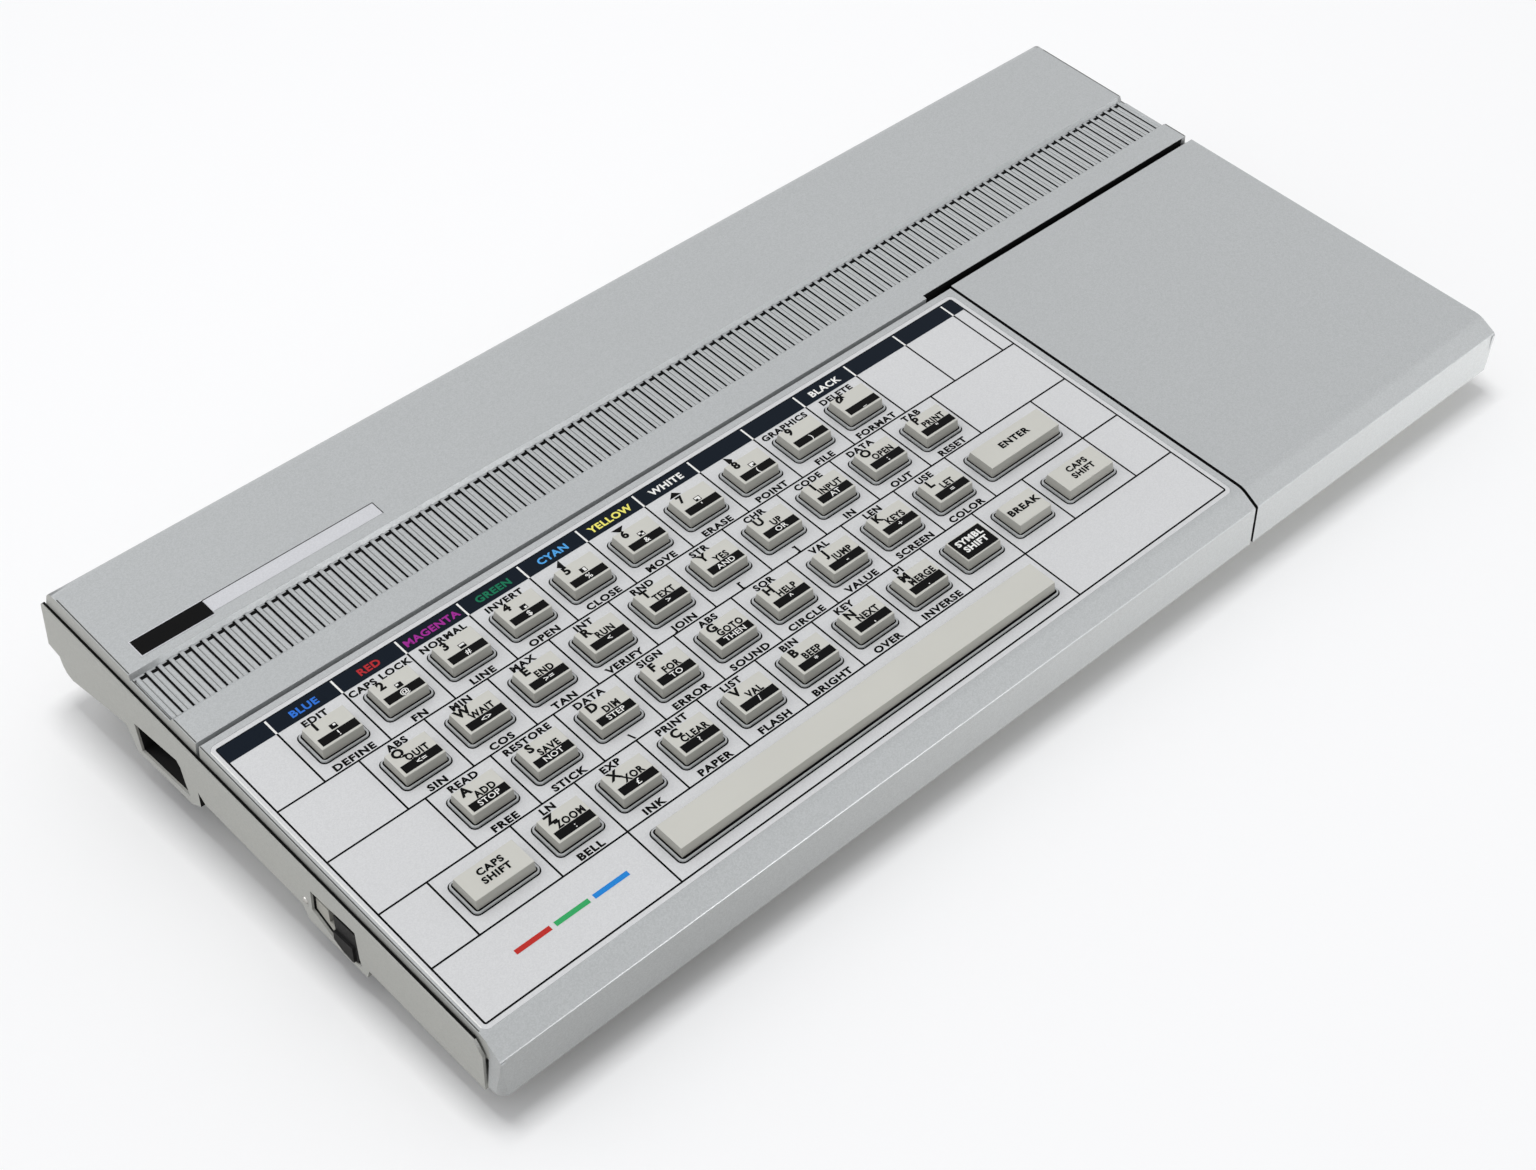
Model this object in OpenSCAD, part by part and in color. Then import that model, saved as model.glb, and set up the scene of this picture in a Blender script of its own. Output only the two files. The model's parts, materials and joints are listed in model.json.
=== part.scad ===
// Vintage home computer: wedge case, 42 moving keys, flip-up cartridge door, side joystick ports.
// World frame: +X right, +Y to the rear, +Z up, origin under the middle of the case.
// Deck frame: x across, s back from the front wall, n above the sloping deck.

/* [Case] */
// Width over the side walls of the lower case
case_w = 361.2; // [359:0.1:364]
// Width of the deck at its top edge
deck_w = 358.1; // [357:0.1:358.4]
// Height of the deck plane above the table at the front wall
deck_z = 24; // [23.5:0.1:26]
// Slope of the deck, rising to the rear
tilt = 5.5; // [5:0.1:6]
// Wall thickness of the case shells
skin = 2.2; // [2:0.1:2.4]
// Thickness of the keyboard bezel plate
plate_t = 2; // [1.8:0.1:2.2]
// Outward lean of the deck's side faces over the height of the front wall
side_lean = 1.2; // [0.8:0.1:1.3]
// Radius of the upright front corners
corner_r = 3; // [1.5:0.1:3.5]
// Depth of the lower edge of the front wall below the deck
front_drop = 15.7; // [15:0.1:16]

/* [Keyboard] */
// Distance between neighbouring keys and between rows
key_pitch = 19.05; // [19:0.01:19.1]
// Width of a key at the foot of its cap
key_w = 11.8; // [11.3:0.1:11.9]
// Depth of a key at the foot of its cap
key_d = 9.1; // [8.8:0.1:9.2]
// Height of a key above the deck
key_h = 3.4; // [3:0.1:3.8]
// Inward slope of the cap's left and right sides over its height
key_side_taper = 0.05; // [0.01:0.01:0.3]
// Inward slope of the cap's front and rear sides over its height
key_end_taper = 0.5; // [0.3:0.05:0.6]
// Stroke of a key
key_travel = 2.5; // [2:0.1:2.6]
// Gap between a key and its hole on each side
key_gap = 0.45; // [0.4:0.05:0.5]
// Width of the raised rim round each key hole
rim_t = 0.5; // [0.4:0.05:0.6]
// Height of the rim above the printed overlay
rim_h = 0.6; // [0.4:0.1:0.8]

/* [Vents] */
// Number of cooling slots
vent_count = 112; // [100:1:112]
// Distance between neighbouring cooling slots
vent_pitch = 3.17; // [3.15:0.01:3.17]
// Width of a cooling slot
vent_w = 0.6; // [0.5:0.1:0.8]
// Depth of the vent field below the deck
vent_drop = 1.5; // [1.2:0.1:1.8]

/* [Cartridge door] */
// Left edge of the door
door_left = 74.15; // [74:0.05:74.3]
// Thickness of the door
door_t = 1.8; // [1.6:0.1:1.8]
// Radius of the door's hinge pins
pin_r = 1; // [0.9:0.05:1.1]
// Running clearance round a hinge pin
pin_gap = 0.04; // [0.03:0.01:0.06]

/* [Electronics] */
// Height of the underside of the main board
board_z = 8; // [8:0.1:8.2]
// Thickness of the main board
board_t = 1.6; // [1.5:0.1:1.7]
// Radius of the hole that takes a 3.5 mm audio plug
jack_r = 1.8; // [1.78:0.01:1.85]
// Depth of the audio jack holes
jack_depth = 14; // [13:0.5:15]

/* [Hidden] */
$fn = 48;
eps = 0.01;
board_top = board_z + board_t;
deck_half = deck_w / 2;
case_half = case_w / 2;
bezel_right = door_left - 1;
lead_half = deck_half + side_lean;

// Foot of the front bevel and the lowest rear corner, in the deck frame
bevel_foot = [0.33, -3.5];
rear_heel = [181.6, -21.2];
function reach(p) = p[0] * cos(tilt) - p[1] * sin(tilt);
function rise(p) = p[0] * sin(tilt) + p[1] * cos(tilt);
deck_y0 = -(reach(bevel_foot) + reach(rear_heel)) / 2;
function world(p) = [deck_y0 + reach(p), deck_z + rise(p)];
function deck_height(y, n) = deck_z + (y - deck_y0) * tan(tilt) + n / cos(tilt);

function arc(cx, cy, r, from, to, steps = 6) =
    [for (i = [0:steps]) let (a = from + (to - from) * i / steps) [cx + r * cos(a), cy + r * sin(a)]];

// Places across the deck are counted from the left edge of the first key's cell
grid_x = -163.15;
grid_s = 94.25;
function key_run(names, row, first) =
    [for (i = [0:len(names) - 1]) [names[i], grid_x + (i + first) * key_pitch, row, 0, 0]];

// Each key: name, place across the deck, row, extra width, extra depth
keys = concat(
    key_run(["key_1", "key_2", "key_3", "key_4", "key_5", "key_6", "key_7", "key_8", "key_9", "key_0"],
        0, 0.5),
    key_run(["key_q", "key_w", "key_e", "key_r", "key_t", "key_y", "key_u", "key_i", "key_o",
        "key_p"], 1, 1),
    key_run(["key_a", "key_s", "key_d", "key_f", "key_g", "key_h", "key_j", "key_k", "key_l"], 2, 1.25),
    [["key_enter", grid_x + 202.4, 2, 14, 0]],
    [["key_caps_left", grid_x + 11.9, 3, 5, 0]],
    key_run(["key_z", "key_x", "key_c", "key_v", "key_b", "key_n", "key_m", "key_symbol_shift",
        "key_break"], 3, 1.75),
    [["key_caps_right", grid_x + 207.2, 3, 5, 0]],
    [["key_space", grid_x + 109.5, 4, 113.1, 0.4]]
);
function key_s(key) = grid_s - key[2] * key_pitch;
function cap_w(key) = key_w + key[3];
function cap_d(key) = key_d + key[4];
// Long keys stand on two plungers, the others on one
function plungers(key) = key[3] > 50 ? [-42, 42] : key[3] > 10 ? [-6, 6] : [0];

// Levels of the keyboard stack below the deck
overlay_floor = -0.35;
overlay_t = 0.3;
rim_top = overlay_floor + overlay_t + rim_h;
flange_top = -2.4;
flange_bottom = -3.6;
play = 0.4;
collar_top = flange_bottom - key_travel - play;
mat_top = collar_top - 0.4;
mat_bottom = mat_top - 0.8;
plunger_bottom = mat_bottom + key_travel + play;
membrane_bottom = mat_bottom - 0.3;
backplate_bottom = membrane_bottom - 1;
ledge_n = -5.8;

// Lines printed round the overlay: left, right, front and rear, and the sheet's margin outside them
overlay_left = -176.8;
overlay_right = 70;
overlay_front = 8.35;
overlay_rear = 109.2;
overlay_margin = 1.25;

// Edges of the deck along its slope
bezel_rear = 112.35;
strip_front = 113.75;
strip_front_door = 115.3;
vent_front = 124.2;
vent_rear = 141.2;
plateau_front = 141.9;
deck_rear = 178.8;
first_vent = grid_x - 12.4;
vent_hole_w = 1.5;
vent_hole_l = 1.1;

// Cartridge bay under the door
bay_floor = -11;
bay_left = 75;
bay_right = 174.6;
bay_wall = 2;
hinge_s = 110;
hinge_n = -4.1;
lug_r = 2;
bulkhead_s = 116.2;

// Fixing screws: place in the world frame; the first four hold the bezel, the rest the top case
bezel_screws = [[-150, -78], [45, -78], [-150, 16.5], [50, 16.5]];
top_screws = [[-150, 70], [12, 70], [150, 70], [120, -78]];
screw_r = 1.5;
head_r = 2.8;
boss_r = 3.5;
boss_joint_z = 8.2;
screw_bite = 3.5;

// Belly of the lower case and its feet
belly_half = 171;
belly_z = 2.6;
belly_rear = 85;
feet = [[-135, -64], [135, -64], [-135, 62], [135, 62]];

// Middle of the joystick opening on the deck's side face: s, n
joystick_at = [130.6, -20.6];
joystick_world = world(joystick_at);
recess_floor = 172;

// Rear wall openings: centre across the case, radius, height
ear_x = 30;
mic_x = 45;
monitor_x = 62;
aerial_x = 95;
power_x = 130;
slot_left = -72;
slot_right = -2;
jack_z = 14;
can_rear = 80;
phono_r = 4.2;
power_r = 2.75;

// ---- Frames and simple shapes ----

module on_deck() {
    translate([0, deck_y0, deck_z]) rotate([tilt, 0, 0]) children();
}

// Prism from x = from to x = to, of an outline drawn as (s, n) points
module across(from, to, outline) {
    translate([from, 0, 0]) rotate([90, 0, 90]) linear_extrude(to - from) polygon(outline);
}

module block(low, high) {
    translate(low) cube(high - low);
}

module round_rect(w, d, r) {
    square([w - 2 * r, d], center = true);
    square([w, d - 2 * r], center = true);
    for (x = [-1, 1]) for (y = [-1, 1])
        translate([x * (w / 2 - r), y * (d / 2 - r)]) circle(r);
}

module round_plate(w, d, r, low, high) {
    translate([0, 0, low]) linear_extrude(high - low) round_rect(w, d, r);
}

module pillar(place, r, low, high) {
    translate([place[0], place[1], low]) cylinder(r = r, h = high - low);
}

// Space inside the leaning side faces and rounded front corners of the deck
module deck_envelope() {
    low = -20;
    lean = side_lean / front_drop;
    intersection() {
        rotate([90, 0, 0]) translate([0, 0, -200]) linear_extrude(220)
            polygon([
                [-deck_half - lean * -low, low], [deck_half + lean * -low, low],
                [deck_half - lean * 5, 5], [-deck_half + lean * 5, 5]
            ]);
        translate([0, 0, low]) linear_extrude(25) union() {
            translate([-200, corner_r - 0.6]) square([400, 220]);
            translate([-lead_half + corner_r, -1]) square([2 * (lead_half - corner_r), 20]);
            for (side = [-1, 1])
                translate([side * (lead_half - corner_r), corner_r - 0.6]) circle(corner_r);
        }
    }
}

// ---- Keys ----

module key(key) {
    w = cap_w(key);
    d = cap_d(key);
    low = flange_bottom;
    color([0.80, 0.80, 0.77]) on_deck() translate([key[1], key_s(key), 0]) {
        difference() {
            union() {
                intersection() {
                    rotate([90, 0, 0]) translate([0, 0, -d]) linear_extrude(2 * d)
                        polygon([
                            [-w / 2, low], [w / 2, low], [w / 2, rim_top],
                            [w / 2 - key_side_taper, key_h], [-w / 2 + key_side_taper, key_h],
                                [-w / 2, rim_top]
                        ]);
                    rotate([90, 0, 90]) translate([0, 0, -w]) linear_extrude(2 * w)
                        polygon([
                            [-d / 2, low], [d / 2, low], [d / 2, rim_top],
                            [d / 2 - key_end_taper, key_h], [-d / 2 + key_end_taper, key_h], [-d / 2,
                                rim_top]
                        ]);
                }
                block([-w / 2 - 1.2, -d / 2 - 1.2, flange_bottom], [w / 2 + 1.2, d / 2 + 1.2,
                    flange_top]);
            }
            block([-w / 2 + 1.3, -d / 2 + 1.3, flange_bottom - 1], [w / 2 - 1.3, d / 2 - 1.3,
                key_h - 1.4]);
        }
        for (x = plungers(key))
            translate([x, 0, plunger_bottom]) cylinder(r = 2.2, h = key_h - 1.2 - plunger_bottom);
    }
}

// ---- Keyboard sandwich ----

module at_keys() {
    for (key = keys) translate([key[1], key_s(key), 0]) for (x = plungers(key)) translate([x, 0,
        0]) children();
}

// Outline of the mat, membrane and steel plate: the key rows and a tongue under the space bar
module sandwich(low, high) {
    block([-166, 28.5, low], [61, 102.5, high]);
    block([-124, 10.5, low], [17, 29, high]);
}

module dome_mat() {
    color([0.35, 0.36, 0.38]) on_deck() difference() {
        union() {
            sandwich(mat_bottom, mat_top);
            at_keys() translate([0, 0, mat_bottom]) cylinder(r = 4.6, h = collar_top - mat_bottom);
        }
        at_keys() translate([0, 0, mat_bottom - 1]) cylinder(r = 3, h = 3);
    }
}

module key_membrane() {
    color([0.82, 0.86, 0.88]) on_deck() sandwich(membrane_bottom, mat_bottom);
}

module keyboard_backplate() {
    color([0.62, 0.63, 0.64]) on_deck() difference() {
        sandwich(backplate_bottom, membrane_bottom);
        for (x = [-40, 25]) translate([x, 65.7, backplate_bottom - 1]) cylinder(r = 1.6, h = 2.5);
    }
}

module overlay_outline(grow, low, high) {
    translate([(overlay_left + overlay_right) / 2, (overlay_front + overlay_rear) / 2, 0])
        round_plate(overlay_right - overlay_left + 2 * grow, overlay_rear - overlay_front + 2 * grow,
            0.8 + grow, low, high);
}

module rims(grow, low, high) {
    for (key = keys) translate([key[1], key_s(key), 0])
        round_plate(cap_w(key) + 2 * (key_gap + rim_t + grow),
            cap_d(key) + key[4] + 2 * (key_gap + rim_t + grow) - 0.2,
            1.4, low, high);
}

module key_holes(low, high) {
    for (key = keys) translate([key[1], key_s(key), 0])
        round_plate(cap_w(key) + 2 * key_gap, cap_d(key) + key[4] + 2 * key_gap, 0.9, low, high);
}

module key_overlay() {
    color([0.87, 0.87, 0.88]) on_deck() difference() {
        overlay_outline(overlay_margin, overlay_floor, overlay_floor + overlay_t);
        rims(0.05, overlay_floor - 1, 1);
    }
}

// ---- Bezel and door share the front section of the deck ----

function front_section(rear, thick) = concat(
    [[rear, -thick], [rear, 0]],
    arc(7.6, -6, 6, 90, 118, 4),
    arc(1.13, -3.56, 0.8, 118, 184, 4),
    [[-0.5, -front_drop], [1.5, -front_drop], [2.3, -4.4], [6.6, -thick]]
);

module keyboard_bezel() {
    color([0.74, 0.745, 0.75]) {
        on_deck() difference() {
            union() {
                difference() {
                    intersection() {
                        deck_envelope();
                        union() {
                            across(-lead_half - 1, bezel_right, front_section(bezel_rear, plate_t));
                            across(bezel_right - plate_t, bezel_right, [[3, -4], [6, ledge_n],
                                [bezel_rear, ledge_n],
                                [bezel_rear, -1], [6.6, -1]]);
                            block([-lead_half - 1, bezel_rear - plate_t, ledge_n], [bezel_right,
                                bezel_rear, -1]);
                            block([-lead_half - 1, 4, ledge_n], [-deck_half + 1.6, bezel_rear, -1.8]);
                            block([-lead_half - 1, 0, -front_drop], [-lead_half + 2.2, 4.2, -3.5]);
                        }
                    }
                    overlay_outline(overlay_margin + 0.05, overlay_floor, 2);
                }
                rims(0, overlay_floor - 0.5, rim_top);
            }
            key_holes(-4, 3);
        }
        for (place = bezel_screws) boss(place, deck_height(place[1], -1.2));
    }
}

// Blind screw boss that hangs from a top shell
module boss(place, top) {
    difference() {
        pillar(place, boss_r, boss_joint_z, top);
        pillar(place, screw_r, boss_joint_z - 1, boss_joint_z + screw_bite + 0.4);
    }
}

module cartridge_door() {
    ears = [[bay_left + bay_wall + 0.4, -1], [bay_right - 0.4, 1]];
    color([0.72, 0.725, 0.735]) on_deck() {
        intersection() {
            deck_envelope();
            union() {
                across(door_left, lead_half + 1, front_section(113, door_t));
                block([deck_half - 1.8, 4, ledge_n + 0.6], [lead_half + 1, 113, -1]);
                block([lead_half - 2.2, 0, -front_drop], [lead_half + 1, 4.2, -3.5]);
            }
        }
        for (ear = ears) {
            inner = ear[0] - ear[1] * 1.8;
            translate([min(ear[0], inner), 0, 0]) rotate([90, 0, 90]) linear_extrude(1.8) union() {
                translate([hinge_s, hinge_n]) circle(lug_r);
                translate([hinge_s - lug_r - 2, hinge_n]) square([2 * lug_r + 2, -1.5 - hinge_n]);
            }
            far = ear[0] + ear[1] * 2.1;
            translate([min(inner, far), hinge_s, hinge_n]) rotate([0, 90, 0]) cylinder(r = pin_r,
                h = 3.9);
        }
    }
}

// ---- Top case: strip, vents and plateau ----

deck_top_line = concat(
    [[strip_front, ledge_n], [strip_front, 0], [vent_front, 0], [vent_front + 0.2, -vent_drop],
        [vent_rear, -vent_drop], [plateau_front, 0]],
    arc(deck_rear - 3.2, -3.2, 3.2, 90, 8, 5),
    [[179.4, ledge_n]]
);
deck_under_line = [
    [177.2, ledge_n], [176.6, -3.6], [175.4, -skin], [plateau_front + 1, -skin], [vent_rear + 0.8,
        -vent_drop - skin],
    [vent_front - 1.2, -vent_drop - skin], [vent_front - 1.6, -skin], [strip_front + skin, -skin],
        [strip_front + skin, ledge_n]
];

module vents() {
    for (i = [0:vent_count - 1]) translate([first_vent + i * vent_pitch, 0, 0]) {
        block([0, vent_front + 0.5, -vent_drop - skin - 1], [vent_w, vent_rear - 0.5, 0]);
        block([-vent_hole_w + eps, vent_rear - 0.5 - vent_hole_l, -vent_drop - skin - 1], [eps,
            vent_rear - 0.5, 0]);
    }
    // Narrow groove beside the first slot, hooked at its rear end
    block([-178.6, vent_front + 0.3, -vent_drop - 0.6], [-178.2, vent_rear - 0.6, 0]);
    block([-178.6, vent_rear - 1, -vent_drop - 0.6], [-177.6, vent_rear - 0.6, 0]);
}

// ---- Cartridge tray under the door, with the bores of its hinge ----

bay_side_line = concat(
    [[5.4, bay_floor - bay_wall], [5.4, -5.2], [7, -2.4], [hinge_s - 3.5, -2.4]],
    arc(hinge_s, hinge_n, lug_r, 110, -35, 6),
    [[hinge_s + 1.2, -8.4], [bulkhead_s + bay_wall, -8.4], [bulkhead_s + bay_wall,
        bay_floor - bay_wall]]
);

module cartridge_tray() {
    right = bay_right + bay_wall;
    color([0.08, 0.08, 0.09]) on_deck() difference() {
        union() {
            across(bay_left, bay_left + bay_wall, bay_side_line);
            across(bay_right, right, bay_side_line);
            block([bay_left, 5.4, bay_floor - bay_wall], [right, bulkhead_s + bay_wall, bay_floor]);
            block([bay_left, bulkhead_s, bay_floor - bay_wall], [right, bulkhead_s + bay_wall, -skin]);
        }
        translate([0, hinge_s, hinge_n]) rotate([0, 90, 0]) {
            translate([0, 0, bay_left - 1]) cylinder(r = pin_r + pin_gap, h = bay_wall + 2);
            translate([0, 0, bay_right - 1]) cylinder(r = pin_r + pin_gap, h = bay_wall + 2);
        }
        block([94, 94.4, bay_floor - bay_wall - 1], [161, 105.6, bay_floor + 1]);
    }
    color([0.08, 0.08, 0.09]) boss(top_screws[3], deck_height(top_screws[3][1], bay_floor - 1.2));
}

module top_case() {
    color([0.72, 0.73, 0.735]) {
        on_deck() difference() {
            intersection() {
                deck_envelope();
                union() {
                    across(-lead_half - 1, lead_half + 1, concat(deck_top_line, deck_under_line));
                    for (x = [-lead_half - 1, deck_half - 1.8])
                        across(x, x + 1 + side_lean + 1.8, deck_top_line);
                }
            }
            block([65, strip_front - 1, -8], [lead_half + 2, strip_front_door, 1]);
            block([bay_left - 0.3, strip_front - 1, -8], [bay_right + bay_wall + 0.3, bulkhead_s,
                -skin]);
            vents();
        }
        for (i = [0:2]) boss(top_screws[i], deck_height(top_screws[i][1], -1.2));
    }
}

// ---- Cartridge socket ----

module cartridge_socket() {
    color([0.13, 0.13, 0.14]) difference() {
        on_deck() {
            difference() {
                union() {
                    block([95, 95, bay_floor - bay_wall], [160, 105, -3.2]);
                    block([92, 92.5, bay_floor], [163, 107, bay_floor + 0.8]);
                }
                block([100, 92, -8.4], [155, 103, -5.8]);
            }
            // Riser card down to the main board
            block([99, 99, -30], [156, 100.6, bay_floor - bay_wall + eps]);
        }
        block([0, -60, -20], [200, 60, board_top]);
    }
}

// ---- Lower case ----

case_line = [
    [4.9, -17.5], [148, -21.2], [172.3, -27.5], [174.7, -26.8], [176, -25], [176.8, -22], rear_heel,
    [180, -5], [7.9, -1.4], [4.9, -4.6]
];
case_inner_line = [
    [5.1, -15.3], [147.8, -19], [171.6, -25.1], [173.4, -24.2], [174.6, -19.6], [179.3, -19], [177.9,
        3], [5.1, 3]
];
case_lip_line = [[4, ledge_n], [183, ledge_n], [183, 3], [4, 3]];
belly_line = [[-86.6, 7.4], [-83, belly_z], [belly_rear - 3, belly_z], [belly_rear, 5.6],
    [belly_rear, 22], [-86.6, 12]];
belly_inner_line = [[-84.4, 7.8], [-82, belly_z + skin], [belly_rear - 4, belly_z + skin],
    [belly_rear - skin, 6.8], [belly_rear - skin, 24], [-84.4, 14]];
joystick_skirt = [
    [147.6, -18], [142.8, -28.4], [118.9, -26.6], [114.3, -23.5], [114, -13.4], [118.6, -13.4], [119,
        -12], [147.6, -12]
];
joystick_opening = [[141.6, -16.6], [122.6, -13.2], [121.3, -14.8], [120.4, -19.5], [119.2, -23.9],
    [140.5, -26.2]];
switch_skirt = [[74, -6.5], [73, -19.2], [72.2, -19.6], [70.4, -23], [48, -22.3], [46.6, -17.5],
    [46.6, -6.5]];
switch_opening = [[68, -9.7], [61.2, -9.05], [54.3, -8.15], [50.9, -8], [50.4, -17.3], [49.8, -19.7],
    [56.6, -22.3], [60.9, -20.3], [68.4, -17.3]];

// The same outline on both sides of the case, between two distances from its middle
module both_sides(inner, outer, outline) {
    across(inner, outer, outline);
    across(-outer, -inner, outline);
}

module case_openings() {
    // Joystick recesses, then the D-shaped holes that their sockets come through
    on_deck() both_sides(recess_floor, case_half + 1, joystick_opening);
    for (side = [-1, 1]) translate([side * 170, joystick_world[0], joystick_world[1]])
        cube([5, 18.6, 9.6], center = true);
    // Notch in the wall's lower edge, in front of each joystick skirt
    on_deck() both_sides(176, case_half + 1, [[111.6, -20.6], [114.6, -18], [114.6, -24], [111.6, -24]]);
    // Switch recess on the left and the hole for the switch behind it
    on_deck() across(-case_half - 1, -176, switch_opening);
    on_deck() block([-176.5, 49.4, -20], [-168, 69, -9.4]);
    // Rear wall: expansion slot and round sockets
    block([slot_left, belly_rear - 5, 6.6], [slot_right, belly_rear + 1, 15.5]);
    for (hole = [[ear_x, 3.3], [mic_x, 3.3], [monitor_x, phono_r + 0.3], [aerial_x, phono_r + 0.3],
        [power_x, 4.8]])
        translate([hole[0], belly_rear + 3, jack_z]) rotate([90, 0, 0]) cylinder(r = hole[1], h = 8);
}

module bottom_case() {
    color([0.66, 0.665, 0.65]) difference() {
        union() {
            difference() {
                union() {
                    on_deck() across(-case_half, case_half, case_line);
                    on_deck() across(-176.6, 176.6, [[2.9, -17.4], [5.2, -17.5], [5.2, -5], [2.9, -5]]);
                    across(-belly_half, belly_half, belly_line);
                }
                on_deck() both_sides(0, case_half - 2.4, case_inner_line);
                on_deck() both_sides(0, case_half - 0.8, case_lip_line);
                across(-belly_half + skin, belly_half - skin, belly_inner_line);
                on_deck() block([bay_left + 1, 2, bay_floor - 0.3], [bay_right + 1, 6, 0]);
                // Room for the door's rear corner as it swings
                on_deck() block([176, 105.5, -8.7], [case_half - 0.8, 115.6, -5]);
            }
            // Thick walls round the side openings, which reach below the case as skirts
            on_deck() both_sides(belly_half - skin, case_half, joystick_skirt);
            on_deck() across(-case_half, -belly_half + skin, switch_skirt);
            // Posts under the main board and round the screws
            for (place = concat(bezel_screws, top_screws)) pillar(place, 4.2, belly_z, boss_joint_z);
            for (place = [[-95, -60], [-10, -60], [-95, 30], [70, 30], [90, -30]])
                pillar(place, 3, belly_z + 1, board_z);
        }
        case_openings();
        for (place = concat(bezel_screws, top_screws)) {
            pillar(place, screw_r + 0.2, belly_z - 1, boss_joint_z + 1);
            pillar(place, head_r + 0.4, belly_z - 1, belly_z + 2.8);
        }
    }
}

module case_screws() {
    color([0.45, 0.45, 0.46]) for (place = concat(bezel_screws, top_screws)) difference() {
        union() {
            pillar(place, head_r, belly_z + 0.9, belly_z + 2.8);
            pillar(place, screw_r - 0.05, belly_z + 2.7, boss_joint_z + screw_bite);
        }
        for (turn = [0, 90]) translate([place[0], place[1], belly_z + 0.9]) rotate([0, 0, turn])
            cube([3.2, 0.7, 2], center = true);
    }
}

module rubber_feet() {
    color([0.12, 0.12, 0.12]) for (place = feet) {
        pillar(place, 6.5, 0.5, belly_z);
        pillar(place, 6, 0, 0.6);
    }
}

// ---- Electronics ----

module main_board() {
    color([0.13, 0.38, 0.22]) difference() {
        union() {
            block([-158, -76, board_z], [158, 80, board_top]);
            block([slot_left + 4, 79, board_z], [slot_right - 4, belly_rear - 0.5, board_top]);
        }
        for (place = concat(bezel_screws, top_screws)) pillar(place, 4.8, board_z - 1, board_top + 1);
    }
}

// Chip: width along X, depth along Y
module chip(x, y, w, d) {
    translate([x - w / 2, y - d / 2, board_top]) {
        translate([0.6, 0.6, 0.6]) cube([w - 1.2, d - 1.2, 3]);
        for (side = [0, d - 0.5]) translate([1, side, 0]) cube([w - 2, 0.5, 2.2]);
        translate([1, 0.2, 1.6]) cube([w - 2, d - 0.4, 0.6]);
    }
}

module board_chips() {
    color([0.16, 0.16, 0.17]) {
        for (i = [0:7]) chip(-120 + 24 * i, -48, 20, 8.6);
        for (x = [-110, -52]) chip(x, -20, 52, 16);
        for (x = [4, 46]) chip(x, -20, 36, 16);
        chip(-45, 28, 84, 20);
        for (i = [0:3]) chip(-75 + 26 * i, 54, 20, 8.6);
    }
}

module metal_shields() {
    color([0.70, 0.71, 0.72]) {
        // Modulator can
        difference() {
            block([76, 46, board_top], [114, can_rear, 24]);
            block([76.6, 46.6, board_top - 1], [113.4, can_rear - 0.6, 23.4]);
        }
        // Finned heat sink of the voltage regulator
        block([-146, 36, board_top], [-100, 38, 30]);
        for (i = [0:6]) block([-146 + i * 7, 38, board_top + 2], [-144.5 + i * 7, 52, 30]);
    }
}

module joystick_port() {
    block([156, -12.5, board_top], [166.6, 12.5, joystick_world[1] + 6]);
    block([166.6, -14.9, joystick_world[1] - 6.2], [168.7, 14.9, joystick_world[1] + 6.2]);
    translate([0, 0, joystick_world[1]]) rotate([90, 0, 90]) {
        translate([0, 0, 168.7]) linear_extrude(6.2) difference() {
            polygon([[-8.4, 4.1], [8.4, 4.1], [7, -4.1], [-7, -4.1]]);
            polygon([[-7.7, 3.5], [7.7, 3.5], [6.4, -3.5], [-6.4, -3.5]]);
        }
        translate([0, 0, 168.6]) linear_extrude(1.4) polygon([[-8.2, 4], [8.2, 4], [6.9, -4], [-6.9,
            -4]]);
        for (i = [0:4]) translate([2.74 * (i - 2), 1.4, 168.7]) cylinder(r = 0.5, h = 5.4);
        for (i = [0:3]) translate([2.74 * (i - 1.5), -1.4, 168.7]) cylinder(r = 0.5, h = 5.4);
    }
}

// Slide switch in its recess: slotted frame, cover plate behind the knob, and a foot on the board
module power_switch() {
    on_deck() difference() {
        union() {
            block([-176, 49.8, -19.6], [-162, 68.6, -9.8]);
            across(-179.6, -175.9, [[62.9, -12.9], [62.9, -17.1], [58.2, -17.1], [58.2, -19.5],
                [61.9, -19.5], [67.9, -17.1], [67.7, -12.9]]);
        }
        block([-177, 52.6, -17], [-171, 63, -12.4]);
    }
    block([-164, -38, board_top], [-151, -25, 14]);
}

module side_connectors() {
    color([0.55, 0.56, 0.58]) {
        for (side = [0, 1]) mirror([side, 0, 0]) translate([0, joystick_world[0], 0]) joystick_port();
        power_switch();
    }
}

module power_switch_knob() {
    color([0.08, 0.08, 0.09]) on_deck() {
        across(-180.5, -179.9, [[50.9, -9.4], [59.4, -10], [59.4, -18.85], [56.3, -20.1], [52.6, -20.5],
            [50.9, -19.9]]);
        // Finger ridge
        across(-181.2, -180.4, [[52, -14.6], [59.4, -15.6], [59.4, -18.85], [56.3, -20.1],
            [52.6, -20.5], [52, -20.2]]);
        block([-180, 53.3, -16.6], [-171.4, 57.5, -12.8]);
    }
}

module round_socket(x, outer_r, hole_r, face, depth, body) {
    translate([x, face, jack_z]) rotate([90, 0, 0]) difference() {
        union() {
            cylinder(r = outer_r, h = depth + 1);
            translate([-body / 2, board_top - jack_z, face - 82.4])
                cube([body, jack_z - board_top + body / 2 - 0.5, depth + 2]);
        }
        translate([0, 0, -1]) cylinder(r = hole_r, h = depth + 1);
    }
}

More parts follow.
